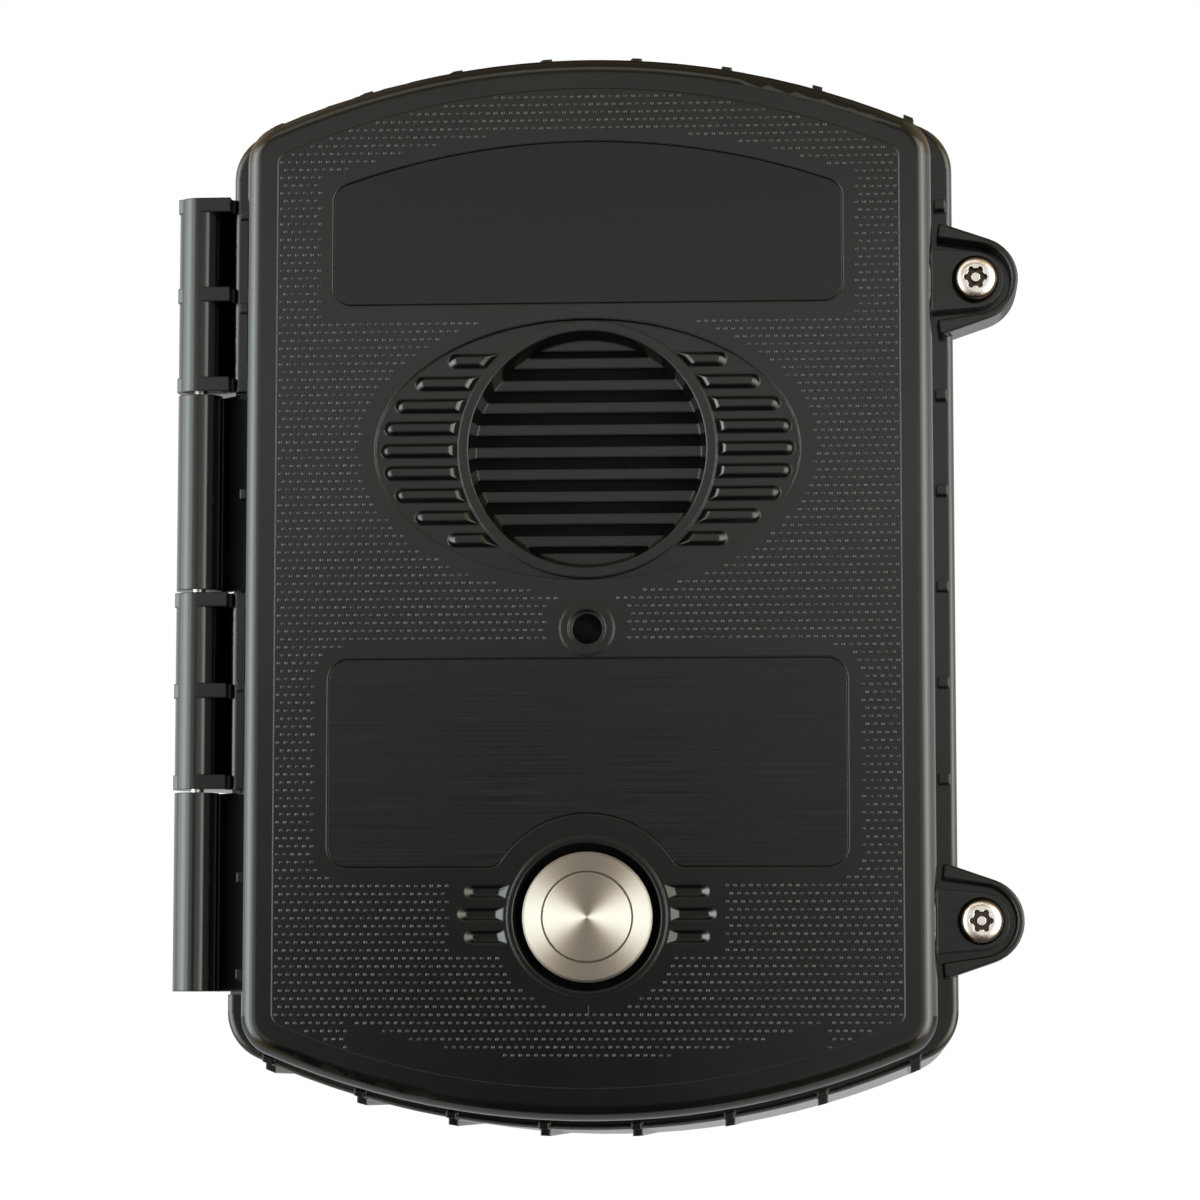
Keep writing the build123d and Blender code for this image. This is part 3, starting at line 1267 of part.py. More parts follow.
AERIAL_DEPTH = BOARD_FRONT + AERIAL_DEPTH_GAP
with BuildPart() as aerial_socket:
    with BuildSketch(Plane.XY.offset(BOARD_TOP - SOCKET_BASE)):
        with Locations((AERIAL_X, -AERIAL_DEPTH)):
            Rectangle(SOCKET_HEX, 2 * AERIAL_DEPTH_GAP)
    extrude(amount=SOCKET_BASE)
    with BuildSketch(Plane.XY.offset(BOARD_TOP)):
        with Locations((AERIAL_X, -AERIAL_DEPTH)):
            Circle(SOCKET_TUBE_R)
    extrude(amount=SOCKET_L)
aerial_socket.part.label = "aerial_socket"
export_step(aerial_socket.part, "parts/aerial_socket.step")

with BuildPart() as aerial:
    with BuildSketch(Plane.XY.offset(BOARD_TOP + SOCKET_BASE)):
        with Locations((AERIAL_X, -AERIAL_DEPTH)):
            Circle(AERIAL_R)
    with BuildSketch(Plane.XY.offset(BOARD_TOP + SOCKET_BASE + AERIAL_L)):
        with Locations((AERIAL_X, -AERIAL_DEPTH)):
            Circle(AERIAL_TIP_R)
    loft()
    with BuildSketch(Plane.XY.offset(BOARD_TOP)):
        with Locations((AERIAL_X, -AERIAL_DEPTH)):
            Circle(SOCKET_TUBE_R)
    extrude(amount=SOCKET_L, mode=Mode.SUBTRACT)
    fillet(aerial.faces().sort_by(Axis.Z)[-1].edges(), radius=AERIAL_TIP_EDGE_R)
aerial.part.label = "aerial"
export_step(aerial.part, "parts/aerial.step")

# Batteries
column_x = rib_centres(COLUMNS, CELL_PITCH)
row_z = (BAY_Z, -BAY_Z)

with BuildPart() as battery_tray:
    with BuildSketch(at_depth(BOX_FLOOR)):
        Rectangle(TRAY_W, TRAY_H)
    extrude(amount=TRAY_DEPTH)
    with BuildSketch(at_depth(BOSS_TOP)):
        with Locations(*tray_tabs):
            Rectangle(TRAY_TAB_W, TRAY_TAB_H)
            Circle(SMALL_SCREW_R, mode=Mode.SUBTRACT)
    extrude(amount=TRAY_TAB_T)
    for z in row_z:
        with BuildSketch(Plane.XY.offset(z - BAY_L / 2)):
            with Locations(*[(x, -CELL_AXIS) for x in column_x]):
                Circle(CELL_R + CELL_PLAY)
            with Locations((0, -CELL_AXIS - TRAY_DEPTH / 2)):
                Rectangle(TRAY_W - 2 * TRAY_WALL, TRAY_DEPTH)
        extrude(amount=BAY_L, mode=Mode.SUBTRACT)
battery_tray.part.label = "battery_tray"
export_step(battery_tray.part, "parts/battery_tray.step")

with BuildPart() as tray_screws:
    with BuildSketch(at_depth(BOSS_TOP + TRAY_TAB_T)):
        with Locations(*tray_tabs):
            Circle(SMALL_HEAD_R)
    extrude(amount=SMALL_HEAD_H)
    with BuildSketch(at_depth(BOSS_TOP + TRAY_TAB_T - TRAY_SCREW_L)):
        with Locations(*tray_tabs):
            Circle(SMALL_SCREW_R)
    extrude(amount=TRAY_SCREW_L)
tray_screws.part.label = "tray_screws"
export_step(tray_screws.part, "parts/tray_screws.step")

# A cell's nub points up in even places and down in odd ones, as in a series chain
cell_ends = []
for row, z in enumerate(row_z):
    for column, x in enumerate(column_x):
        up = 1 if (row + column) % 2 == 0 else -1
        nub_end = z + up * (BAY_L / 2 - CONTACT_T)
        cell_ends.append((x, nub_end, up))

for number, (x, nub_end, up) in enumerate(cell_ends, start=1):
    with BuildPart() as battery_cell:
        with BuildSketch(Plane(origin=(x, -CELL_AXIS, nub_end - up * CELL_NUB_H), z_dir=(0, 0, -up))):
            Circle(CELL_R)
        extrude(amount=CELL_L)
        ends = battery_cell.faces().filter_by(Axis.Z)
        fillet(ends.edges(), radius=CELL_EDGE_R)
        with BuildSketch(Plane(origin=(x, -CELL_AXIS, nub_end), z_dir=(0, 0, -up))):
            Circle(CELL_NUB_R)
        extrude(amount=CELL_NUB_H)
    battery_cell.part.label = f"battery_cell_{number}"
    export_step(battery_cell.part, f"parts/battery_cell_{number}.step")

with BuildPart() as battery_contact_plates:
    for x, nub_end, up in cell_ends:
        for far in (0, 1):
            plate_end = nub_end - up * far * (BAY_L - 2 * CONTACT_T)
            outward = up if far == 0 else -up
            plate_plane = Plane(origin=(x, -CELL_AXIS, plate_end), x_dir=(1, 0, 0), z_dir=(0, 0, outward))
            with BuildSketch(plate_plane):
                Rectangle(CONTACT_W, CONTACT_H)
            extrude(amount=CONTACT_T)
battery_contact_plates.part.label = "battery_contact_plates"
export_step(battery_contact_plates.part, "parts/battery_contact_plates.step")

with BuildPart() as battery_leaf_springs:
    for x, nub_end, up in cell_ends:
        plate = nub_end - up * (BAY_L - 2 * CONTACT_T)
        cell_end = nub_end - up * (CELL_NUB_H + CELL_L)
        low = plate + up * LEAF_T / 2
        high = cell_end - up * LEAF_T / 2
        with BuildSketch(Plane(origin=(x, 0, 0), x_dir=(0, 1, 0), z_dir=(1, 0, 0))):
            with BuildLine():
                ThreePointArc(
                    (-CELL_AXIS - LEAF_SPAN / 2, low), (-CELL_AXIS, high), (-CELL_AXIS + LEAF_SPAN / 2, low)
                )
            trace(line_width=LEAF_T)
        extrude(amount=LEAF_W / 2, both=True)
battery_leaf_springs.part.label = "battery_leaf_springs"
export_step(battery_leaf_springs.part, "parts/battery_leaf_springs.step")

for name, z in (("upper", BAY_Z), ("lower", -BAY_Z)):
    with BuildPart() as battery_strap:
        half = STRAP_LEG_X + STRAP_T / 2
        with BuildSketch(Plane.XY.offset(z - STRAP_W / 2)):
            with BuildLine():
                Polyline(
                    (-half - STRAP_FOOT, -BOSS_TOP),
                    (-half + STRAP_T, -BOSS_TOP),
                    (-half + STRAP_T, -STRAP_TOP + STRAP_T),
                    (half - STRAP_T, -STRAP_TOP + STRAP_T),
                    (half - STRAP_T, -BOSS_TOP),
                    (half + STRAP_FOOT, -BOSS_TOP),
                    (half + STRAP_FOOT, -BOSS_TOP - TRAY_TAB_T),
                    (half, -BOSS_TOP - TRAY_TAB_T),
                    (half, -STRAP_TOP),
                    (-half, -STRAP_TOP),
                    (-half, -BOSS_TOP - TRAY_TAB_T),
                    (-half - STRAP_FOOT, -BOSS_TOP - TRAY_TAB_T),
                    close=True,
                )
            make_face()
        extrude(amount=STRAP_W)
        with BuildSketch(at_depth(BOSS_TOP)):
            with Locations((-STRAP_HOLE_X, z), (STRAP_HOLE_X, z)):
                Circle(SMALL_SCREW_R)
        extrude(amount=TRAY_TAB_T, mode=Mode.SUBTRACT)
    battery_strap.part.label = f"{name}_battery_strap"
    export_step(battery_strap.part, f"parts/{name}_battery_strap.step")

with BuildPart() as strap_screws:
    with BuildSketch(at_depth(BOSS_TOP + TRAY_TAB_T)):
        with Locations(*strap_feet):
            Circle(SMALL_HEAD_R)
    extrude(amount=SMALL_HEAD_H)
    with BuildSketch(at_depth(BOSS_TOP + TRAY_TAB_T - TRAY_SCREW_L)):
        with Locations(*strap_feet):
            Circle(SMALL_SCREW_R)
    extrude(amount=TRAY_SCREW_L)
strap_screws.part.label = "strap_screws"
export_step(strap_screws.part, "parts/strap_screws.step")
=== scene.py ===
# %% [markdown]
# # A wall call box, dressed for its portrait
#
# The box is a ribbed plastic case with a hinged door. The door carries a loudspeaker
# grille, a microphone port, a steel push button and two dark label plates. Its solids
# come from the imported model. Here they get their finishes, and the small forms that are
# too fine for the solids: the moulded stipple, a bead round it, a flow line below the
# button, a liner in the button's recess and the screw threads.

# %% Load the solids
from math import atan2, cos, isclose, pi, sin, sqrt
from random import Random

import bmesh
import bpy
from mathutils import Matrix, Vector


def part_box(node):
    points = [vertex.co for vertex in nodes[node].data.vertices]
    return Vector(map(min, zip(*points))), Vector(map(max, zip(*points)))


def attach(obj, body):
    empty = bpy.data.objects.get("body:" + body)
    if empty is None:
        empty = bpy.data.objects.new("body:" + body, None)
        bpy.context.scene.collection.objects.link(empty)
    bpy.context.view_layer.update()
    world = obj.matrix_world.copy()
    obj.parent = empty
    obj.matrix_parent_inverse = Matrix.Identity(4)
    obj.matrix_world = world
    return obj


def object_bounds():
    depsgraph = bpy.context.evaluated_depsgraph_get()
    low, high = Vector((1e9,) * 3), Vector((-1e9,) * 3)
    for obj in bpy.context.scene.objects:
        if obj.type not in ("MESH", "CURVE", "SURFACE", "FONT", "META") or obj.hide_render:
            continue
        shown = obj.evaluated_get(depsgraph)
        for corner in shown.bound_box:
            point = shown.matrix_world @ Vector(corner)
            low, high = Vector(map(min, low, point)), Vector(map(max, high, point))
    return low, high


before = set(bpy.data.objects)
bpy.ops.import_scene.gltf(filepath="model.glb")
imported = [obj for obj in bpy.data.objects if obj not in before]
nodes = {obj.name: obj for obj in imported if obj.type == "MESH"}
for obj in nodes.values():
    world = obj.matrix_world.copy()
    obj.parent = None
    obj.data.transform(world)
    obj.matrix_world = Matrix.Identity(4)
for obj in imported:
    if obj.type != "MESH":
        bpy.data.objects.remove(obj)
solid_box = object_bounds()
scene = bpy.context.scene
print("solids:", len(nodes), "box:", solid_box)

# %% [markdown]
# ## The camera
#
# The photograph looks at the door from about a metre away, a little from the right and
# from below, so the case's right flank and its lower ribs just show. A long lens keeps
# the sides nearly parallel. A camera can be turned by angles, but it is easier to say
# where it stands and what it looks at, and let a vector give the angles.

# %% Place the camera
lens_data = bpy.data.cameras.new("portrait_camera")
lens_data.sensor_width = 36.0
lens_data.lens = 125.4
lens_data.clip_start = 0.05
lens_data.clip_end = 60.0
camera = bpy.data.objects.new("portrait_camera", lens_data)
camera.location = (0.060, -1.000, -0.100)
aim = Vector((0.0029, -0.085, -0.0040))
camera.rotation_euler = (aim - camera.location).to_track_quat("-Z", "Y").to_euler()
scene.collection.objects.link(camera)
scene.camera = camera
print("camera distance:", round((aim - camera.location).length, 3), "m")

# %% [markdown]
# ## The room
#
# The box hangs in a pale, even room. The background is white to the camera. The light
# that falls on the box is plainer and lower, so that a colour looks about as it is
# written. A reflection sees a brighter room at both sides. It is dimmer in front of the
# door, where the camera and its stand would be, and behind. Above and below it is dimmer
# too, and a little warm. That is what gives black plastic its depth, and it makes turned
# steel show light and dark wedges.
#
# Such a room could be a picture, but a few sums on the direction of a ray are enough, and
# they are easy to change. These helpers write the sums as nodes.

# %% Helpers for the room
world = bpy.data.worlds.new("pale_room")
scene.world = world
world.use_nodes = True
room = world.node_tree
room.nodes.clear()


def room_node(kind, **settings):
    """Add a node to the room, with its plain settings."""
    node = room.nodes.new(kind)
    for setting, value in settings.items():
        setattr(node, setting, value)
    return node


def room_math(operation, first, second=0.0):
    """Join two values of the room, or change one alone; a value may be a number."""
    node = room_node("ShaderNodeMath", operation=operation)
    for socket, value in zip(node.inputs, (first, second)):
        if isinstance(value, (int, float)):
            socket.default_value = value
        else:
            room.links.new(value, socket)
    return node.outputs[0]


def set_range(node, low, high, at_low, at_high):
    """Fill in a Map Range node: low becomes at_low, and high becomes at_high."""
    limits = {"From Min": low, "From Max": high, "To Min": at_low, "To Max": at_high}
    for socket, number in limits.items():
        node.inputs[socket].default_value = number


def room_range(value, low, high, at_low, at_high):
    """Turn a value's range into another, eased at both ends."""
    node = room_node("ShaderNodeMapRange", interpolation_type="SMOOTHSTEP")
    room.links.new(value, node.inputs["Value"])
    set_range(node, low, high, at_low, at_high)
    return node.outputs["Result"]


ray = room_node("ShaderNodeLightPath").outputs
way = room_node("ShaderNodeTexCoord")
split = room_node("ShaderNodeSeparateXYZ")
room.links.new(way.outputs["Generated"], split.inputs[0])
across, inward, up = (split.outputs[axis] for axis in "XYZ")
print("room helpers ready, rays split into", [output.name for output in split.outputs])

# %% [markdown]
# A direction has a length of 1, so its share across, inward and up says where a ray goes.
# The stand is a dark patch a little left of straight ahead, drawn out downwards. Round it
# the room is brightest at eye level, and dims overhead, underfoot and behind. The side
# walls are added on top, and are the same at every height.

# %% What a reflection sees
STAND_LEFT = 0.08           # the dark patch's place, as a share of a direction's length
SIDE_STRENGTH = 1.2
stand_x = room_math("ADD", across, STAND_LEFT)
stand_z = room_math("MAXIMUM", up, 0.0)
stand_squares = room_math("ADD", room_math("POWER", stand_x, 2.0), room_math("POWER", stand_z, 2.0))
from_stand = room_math("SQRT", stand_squares)
front_light = room_range(from_stand, low=0.0, high=0.20, at_low=0.0, at_high=1.15)
overhead = room_range(up, low=0.10, high=0.34, at_low=1.0, at_high=0.28)
underfoot = room_range(up, low=-0.45, high=-0.02, at_low=0.04, at_high=1.0)
behind = room_range(inward, low=0.10, high=0.60, at_low=1.0, at_high=0.20)
sideways = room_range(room_math("ABSOLUTE", across), low=0.15, high=0.80, at_low=0.0, at_high=1.0)
reflected = room_math("MULTIPLY", room_math("MULTIPLY", front_light, overhead), underfoot)
reflected = room_math(
    "ADD", room_math("MULTIPLY", reflected, behind), room_math("MULTIPLY", sideways, SIDE_STRENGTH)
)
print("room nodes for reflections:", len(room.nodes))

# %% [markdown]
# The camera sees plain white, a strength of 1. A mirror or glass sees the room above.
# Every other ray, which is the light that falls on the box, finds one low, even strength.
# Only a mirror sees the warm hue, and only above and below eye level.

# %% Join the room
FALLING_LIGHT = 0.36
WARM, WHITE = (1.0, 0.74, 0.48, 1.0), (1.0, 1.0, 1.0, 1.0)
by_camera = ray["Is Camera Ray"]
by_mirror = ray["Is Glossy Ray"]
seen = room_math("MAXIMUM", room_math("MAXIMUM", by_camera, by_mirror), ray["Is Transmission Ray"])
not_camera = room_math("SUBTRACT", 1.0, by_camera)
looks = room_math("ADD", by_camera, room_math("MULTIPLY", not_camera, reflected))
falls = room_math("MULTIPLY", room_math("SUBTRACT", 1.0, seen), FALLING_LIGHT)
strength = room_math("ADD", room_math("MULTIPLY", seen, looks), falls)
level = room_range(room_math("ABSOLUTE", up), low=0.16, high=0.50, at_low=1.0, at_high=0.0)
whiteness = room_math("MAXIMUM", room_math("SUBTRACT", 1.0, by_mirror), level)
hue = room_node("ShaderNodeMix", data_type="RGBA")
hue.inputs["A"].default_value = WARM
hue.inputs["B"].default_value = WHITE
room.links.new(whiteness, hue.inputs["Factor"])
shine = room_node("ShaderNodeBackground")
room.links.new(hue.outputs["Result"], shine.inputs["Color"])
room.links.new(strength, shine.inputs["Strength"])
room.links.new(shine.outputs[0], room_node("ShaderNodeOutputWorld").inputs["Surface"])
print("room nodes in all:", len(room.nodes))

# %% [markdown]
# Soft lamps shape the box: cool ones at its left, faintly green ones at its right and a
# broad one above the camera. At each side a narrow lamp stands in a wide, weaker halo, so
# that a highlight on a round edge fades at its borders. An area lamp's glow is its power
# shared over its size, so the sizes are written beside the powers.

# %% Hang the lamps
COOL, GREENISH, WARMISH = (0.80, 0.90, 1.0), (0.98, 1.0, 0.96), (1.0, 0.97, 0.92)
LAMPS = {
    # name: (place, (width, height), power, colour)
    "left_softbox": ((-0.95, -0.50, 0.02), (0.45, 1.1), 5.5, COOL),
    "left_halo": ((-1.00, -0.52, 0.02), (1.30, 1.5), 16.0, COOL),
    "right_softbox": ((0.88, -0.72, 0.02), (0.40, 1.1), 4.0, GREENISH),
    "right_halo": ((0.92, -0.75, 0.02), (1.15, 1.5), 11.5, GREENISH),
    "top_softbox": ((-0.2, -1.30, 1.30), (1.2, 0.6), 2.5, WARMISH),
}
BOX_MIDDLE = Vector((0, -0.04, 0))
for name, (place, (width, height), power, colour) in LAMPS.items():
    lamp_data = bpy.data.lights.new(name, "AREA")
    lamp_data.shape = "RECTANGLE"
    lamp_data.size = width
    lamp_data.size_y = height
    lamp_data.energy = power
    lamp_data.color = colour
    lamp = bpy.data.objects.new(name, lamp_data)
    lamp.location = place
    lamp.rotation_euler = (BOX_MIDDLE - lamp.location).to_track_quat("-Z", "Y").to_euler()
    scene.collection.objects.link(lamp)
    print(name, "glow:", round(power / (pi * width * height), 2))

# %% [markdown]
# The floor lies well below the box, which hangs on a wall in use. It starts a little in
# front of the door and runs far back, so that the door reflects the dim room in front
# and not the floor. Part of its white is a glow that the camera sees in full and a mirror
# in part, so the box still throws a shadow on it and keeps a dark underside.

# %% Lay the floor
FLOOR_FRONT, FLOOR_HALF, FLOOR_DROP = -0.15, 14.0, 0.22
GLOWS = {"Is Camera Ray": 0.70, "Is Glossy Ray": 0.20, "Is Transmission Ray": 0.70}
floor_shape = bmesh.new()
bmesh.ops.create_grid(floor_shape, x_segments=1, y_segments=1, size=FLOOR_HALF)
floor_place = (0, FLOOR_FRONT + FLOOR_HALF, solid_box[0][2] - FLOOR_DROP)
bmesh.ops.translate(floor_shape, verts=floor_shape.verts, vec=floor_place)
floor_mesh = bpy.data.meshes.new("pale_floor")
floor_shape.to_mesh(floor_mesh)
floor_shape.free()
floor = bpy.data.objects.new("pale_floor", floor_mesh)
scene.collection.objects.link(floor)
floor_paint = bpy.data.materials.new("floor_paint")
floor_paint.use_nodes = True
floor_tree = floor_paint.node_tree
paint = floor_tree.nodes["Principled BSDF"]
paint.inputs["Base Color"].default_value = (0.86, 0.86, 0.86, 1.0)
paint.inputs["Roughness"].default_value = 0.9
paint.inputs["Specular IOR Level"].default_value = 0.0
floor_ray = floor_tree.nodes.new("ShaderNodeLightPath").outputs
glow = None
for kind, amount in GLOWS.items():
    share = floor_tree.nodes.new("ShaderNodeMath")
    share.operation = "MULTIPLY_ADD"
    share.inputs[1].default_value = amount
    share.inputs[2].default_value = 0.0
    floor_tree.links.new(floor_ray[kind], share.inputs[0])
    if glow:
        floor_tree.links.new(glow, share.inputs[2])
    glow = share.outputs[0]
paint.inputs["Emission Color"].default_value = WHITE
floor_tree.links.new(glow, paint.inputs["Emission Strength"])
floor_mesh.materials.append(floor_paint)
print("floor height:", round(floor.bound_box[0][2], 3))

# %% [markdown]
# ## Finishes
#
# Every finish is one Principled shader with two or three patterns on it: a slow mottle
# in the colour, a change in roughness, and a fine grain as a bump. The patterns read
# Object coordinates. Each solid's object stands at the origin with its place in its
# mesh, so these are metres in the shared frame, and a pattern never slides.

# %% Helpers for finishes
RAMP_LOW, RAMP_HIGH = 0.35, 0.65      # a pattern's colour runs from dark to light between these
CLOUD_LOW, CLOUD_HIGH = 0.3, 0.7      # most of a noise lies between these


def shader_of(finish):
    """The finish's one Principled shader."""
    return finish.node_tree.nodes["Principled BSDF"]


def new_finish(name, colour, roughness, metallic=0.0, specular=0.5):
    """Start a finish with its plain numbers set on the shader."""
    finish = bpy.data.materials.new(name)
    finish.use_nodes = True
    sockets = shader_of(finish).inputs
    sockets["Base Color"].default_value = (*colour, 1.0)
    sockets["Roughness"].default_value = roughness
    sockets["Metallic"].default_value = metallic
    sockets["Specular IOR Level"].default_value = specular
    return finish


def pattern(finish, scale, detail=2.0, stretch=(1.0, 1.0, 1.0)):
    """A cloudy pattern that sits on the piece; stretch above 1 packs it along an axis."""
    tree = finish.node_tree
    place = tree.nodes.new("ShaderNodeTexCoord")
    packed = tree.nodes.new("ShaderNodeMapping")
    packed.inputs["Scale"].default_value = stretch
    clouds = tree.nodes.new("ShaderNodeTexNoise")
    clouds.inputs["Scale"].default_value = scale
    clouds.inputs["Detail"].default_value = detail
    tree.links.new(place.outputs["Object"], packed.inputs["Vector"])
    tree.links.new(packed.outputs["Vector"], clouds.inputs["Vector"])
    return clouds.outputs["Fac"]


def tint(finish, value, dark, light):
    """Let a pattern choose the colour, from dark to light."""
    tree = finish.node_tree
    ramp = tree.nodes.new("ShaderNodeValToRGB")
    first, last = ramp.color_ramp.elements
    first.position, last.position = RAMP_LOW, RAMP_HIGH
    first.color, last.color = (*dark, 1.0), (*light, 1.0)
    tree.links.new(value, ramp.inputs["Fac"])
    tree.links.new(ramp.outputs["Color"], shader_of(finish).inputs["Base Color"])


def roughen(finish, value, low, high):
    """Let a pattern choose the roughness, from low to high."""
    tree = finish.node_tree
    spread = tree.nodes.new("ShaderNodeMapRange")
    set_range(spread, CLOUD_LOW, CLOUD_HIGH, low, high)
    tree.links.new(value, spread.inputs["Value"])
    tree.links.new(spread.outputs["Result"], shader_of(finish).inputs["Roughness"])


def emboss(finish, value, height, edge=0.0):
    """Raise a pattern by a height in metres; edge rounds the solid's sharp edges to the eye."""
    tree = finish.node_tree
    relief = tree.nodes.new("ShaderNodeBump")
    relief.inputs["Distance"].default_value = height
    tree.links.new(value, relief.inputs["Height"])
    if edge:
        softener = tree.nodes.new("ShaderNodeBevel")
        softener.samples = 4
        softener.inputs["Radius"].default_value = edge
        tree.links.new(softener.outputs["Normal"], relief.inputs["Normal"])
    tree.links.new(relief.outputs["Normal"], shader_of(finish).inputs["Normal"])


def wear(finish, mottle, dark, light, grain, height, rough, edge=0.0):
    """The three patterns together: mottle in the colour, grain in roughness and relief."""
    tint(finish, pattern(finish, mottle), dark, light)
    fine = pattern(finish, grain, detail=3.0)
    roughen(finish, fine, *rough)
    emboss(finish, fine, height, edge)
    return finish


print("finish helpers ready")

# %% [markdown]
# ### Moulded plastic and rubber
#
# The case and door are one near-black plastic with a soft gloss and a very fine grain
# from the mould. The rubber is duller and the clips inside are plainer.

# %% Plastics and rubber
case_plastic = wear(
    new_finish("moulded_case_plastic", (0.0036, 0.0040, 0.0033), 0.14),
    mottle=38, dark=(0.0030, 0.0034, 0.0028), light=(0.0042, 0.0046, 0.0038),
    grain=2600, height=0.000002, rough=(0.11, 0.16), edge=0.0005,
)
shader_of(case_plastic).inputs["Specular Tint"].default_value = (0.98, 1.0, 0.92, 1.0)
tray_plastic = wear(
    new_finish("plain_black_plastic", (0.02, 0.02, 0.02), 0.5),
    mottle=50, dark=(0.016, 0.016, 0.017), light=(0.024, 0.024, 0.024),
    grain=1500, height=0.00002, rough=(0.42, 0.58), edge=0.0003,
)
soft_rubber = wear(
    new_finish("soft_rubber", (0.02, 0.02, 0.02), 0.8, specular=0.3),
    mottle=70, dark=(0.014, 0.014, 0.014), light=(0.026, 0.026, 0.025),
    grain=1800, height=0.00003, rough=(0.7, 0.9),
)
cell_film = wear(
    new_finish("cell_sleeve_film", (0.05, 0.05, 0.06), 0.28),
    mottle=25, dark=(0.040, 0.042, 0.052), light=(0.058, 0.058, 0.068),
    grain=900, height=0.00002, rough=(0.22, 0.34),
)
print("plastics:", [finish.name for finish in (case_plastic, tray_plastic, soft_rubber, cell_film)])

# %% [markdown]
# ### Magnet, paper, felt and cloth
#
# Behind the grille lies a splash screen of black cloth, and behind that the loudspeaker
# with its pressed magnet and coated paper cone. The microphone has a felt front. The
# cloth is two crossed sets of threads, about three to a millimetre. Two wave textures,
# multiplied, give its crossings, and no picture of a weave is needed.

# %% Magnet, paper, felt and cloth
sintered = wear(
    new_finish("pressed_ferrite", (0.08, 0.08, 0.085), 0.6),
    mottle=90, dark=(0.06, 0.06, 0.064), light=(0.10, 0.10, 0.105),
    grain=2200, height=0.00003, rough=(0.5, 0.72),
)
coated_paper = wear(
    new_finish("coated_paper", (0.03, 0.03, 0.03), 0.62),
    mottle=120, dark=(0.022, 0.022, 0.022), light=(0.040, 0.039, 0.037),
    grain=2400, height=0.00004, rough=(0.5, 0.75),
)
felt_front = wear(
    new_finish("felt_capsule_front", (0.005, 0.005, 0.006), 0.9, specular=0.05),
    mottle=400, dark=(0.003, 0.003, 0.004), light=(0.008, 0.008, 0.009),
    grain=2500, height=0.00003, rough=(0.8, 0.95),
)
THREAD_SCALE = 950                    # a wave texture's bands are a third of a millimetre apart
woven_screen = new_finish("woven_splash_screen", (0.006, 0.006, 0.006), 0.8, specular=0.06)
cloth = woven_screen.node_tree
cloth_place = cloth.nodes.new("ShaderNodeTexCoord")
crossing = cloth.nodes.new("ShaderNodeMath")
crossing.operation = "MULTIPLY"
for direction, socket in zip("XZ", crossing.inputs):
    thread = cloth.nodes.new("ShaderNodeTexWave")
    thread.bands_direction = direction
    thread.inputs["Scale"].default_value = THREAD_SCALE
    cloth.links.new(cloth_place.outputs["Object"], thread.inputs["Vector"])
    cloth.links.new(thread.outputs["Fac"], socket)
tint(woven_screen, crossing.outputs[0], dark=(0.002, 0.002, 0.002), light=(0.009, 0.009, 0.009))
emboss(woven_screen, crossing.outputs[0], height=0.00005)
print("loudspeaker finishes:", [finish.name for finish in (sintered, coated_paper, woven_screen)])

# %% [markdown]
# ### Metals
#
# The button is turned on a lathe, so its fine lines are circles round its middle. Light
# spreads across such lines, and two soft lamps at the sides draw a bright wedge at the
# left and right. The shader's anisotropy does that, with a tangent that runs round the
# button's axis and a quarter turn, so that the light spreads across the lines.

# %% Turned steel
LATHE_SCALE, LATHE_DEPTH = 9000, 0.0000006
turned_steel = new_finish("turned_steel", (0.46, 0.434, 0.372), 0.48, metallic=1.0)


def turned_lines(finish, centre):
    """Circular lathe lines round an axis that points along Y through a centre."""
    tree = finish.node_tree
    place = tree.nodes.new("ShaderNodeTexCoord")
    centred = tree.nodes.new("ShaderNodeVectorMath")
    centred.operation = "SUBTRACT"
    centred.inputs[1].default_value = centre
    flattened = tree.nodes.new("ShaderNodeVectorMath")
    flattened.operation = "MULTIPLY"
    flattened.inputs[1].default_value = (1.0, 0.0, 1.0)
    distance = tree.nodes.new("ShaderNodeVectorMath")
    distance.operation = "LENGTH"
    lines = tree.nodes.new("ShaderNodeTexNoise")
    lines.noise_dimensions = "1D"
    lines.inputs["Scale"].default_value = LATHE_SCALE
    tree.links.new(place.outputs["Object"], centred.inputs[0])
    tree.links.new(centred.outputs[0], flattened.inputs[0])
    tree.links.new(flattened.outputs[0], distance.inputs[0])
    tree.links.new(distance.outputs["Value"], lines.inputs["W"])
    emboss(finish, lines.outputs["Fac"], LATHE_DEPTH)
    shader = shader_of(finish)
    shader.inputs["Anisotropic"].default_value = 0.9
    shader.inputs["Anisotropic Rotation"].default_value = 0.25
    around = tree.nodes.new("ShaderNodeTangent")
    around.direction_type = "RADIAL"
    around.axis = "Y"
    tree.links.new(around.outputs[0], shader.inputs["Tangent"])
    return lines.outputs["Fac"]


button_low, button_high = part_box("button_cap")
button_z = (button_low[2] + button_high[2]) / 2
button_centre = ((button_low[0] + button_high[0]) / 2, 0.0, button_z)
roughen(turned_steel, turned_lines(turned_steel, button_centre), low=0.46, high=0.51)
print("button centre:", [round(v, 4) for v in button_centre])

# %% [markdown]
# The cover screws' heads are domes with a recess of six lobes and a pin in its middle.
# Painted shade makes the recess and the dome's foot dark. It stands in for the shade there
# and for the dark cup that the dome reflects. Depth below the head's top tells where, so the
# colour is mixed by that and by nothing else.

# %% Screws, zinc and brass
screw_steel = wear(
    new_finish("screw_steel", (0.60, 0.57, 0.53), 0.3, metallic=1.0),
    mottle=300, dark=(0.50, 0.47, 0.43), light=(0.66, 0.63, 0.59),
    grain=3000, height=0.000012, rough=(0.22, 0.38), edge=0.0002,
)


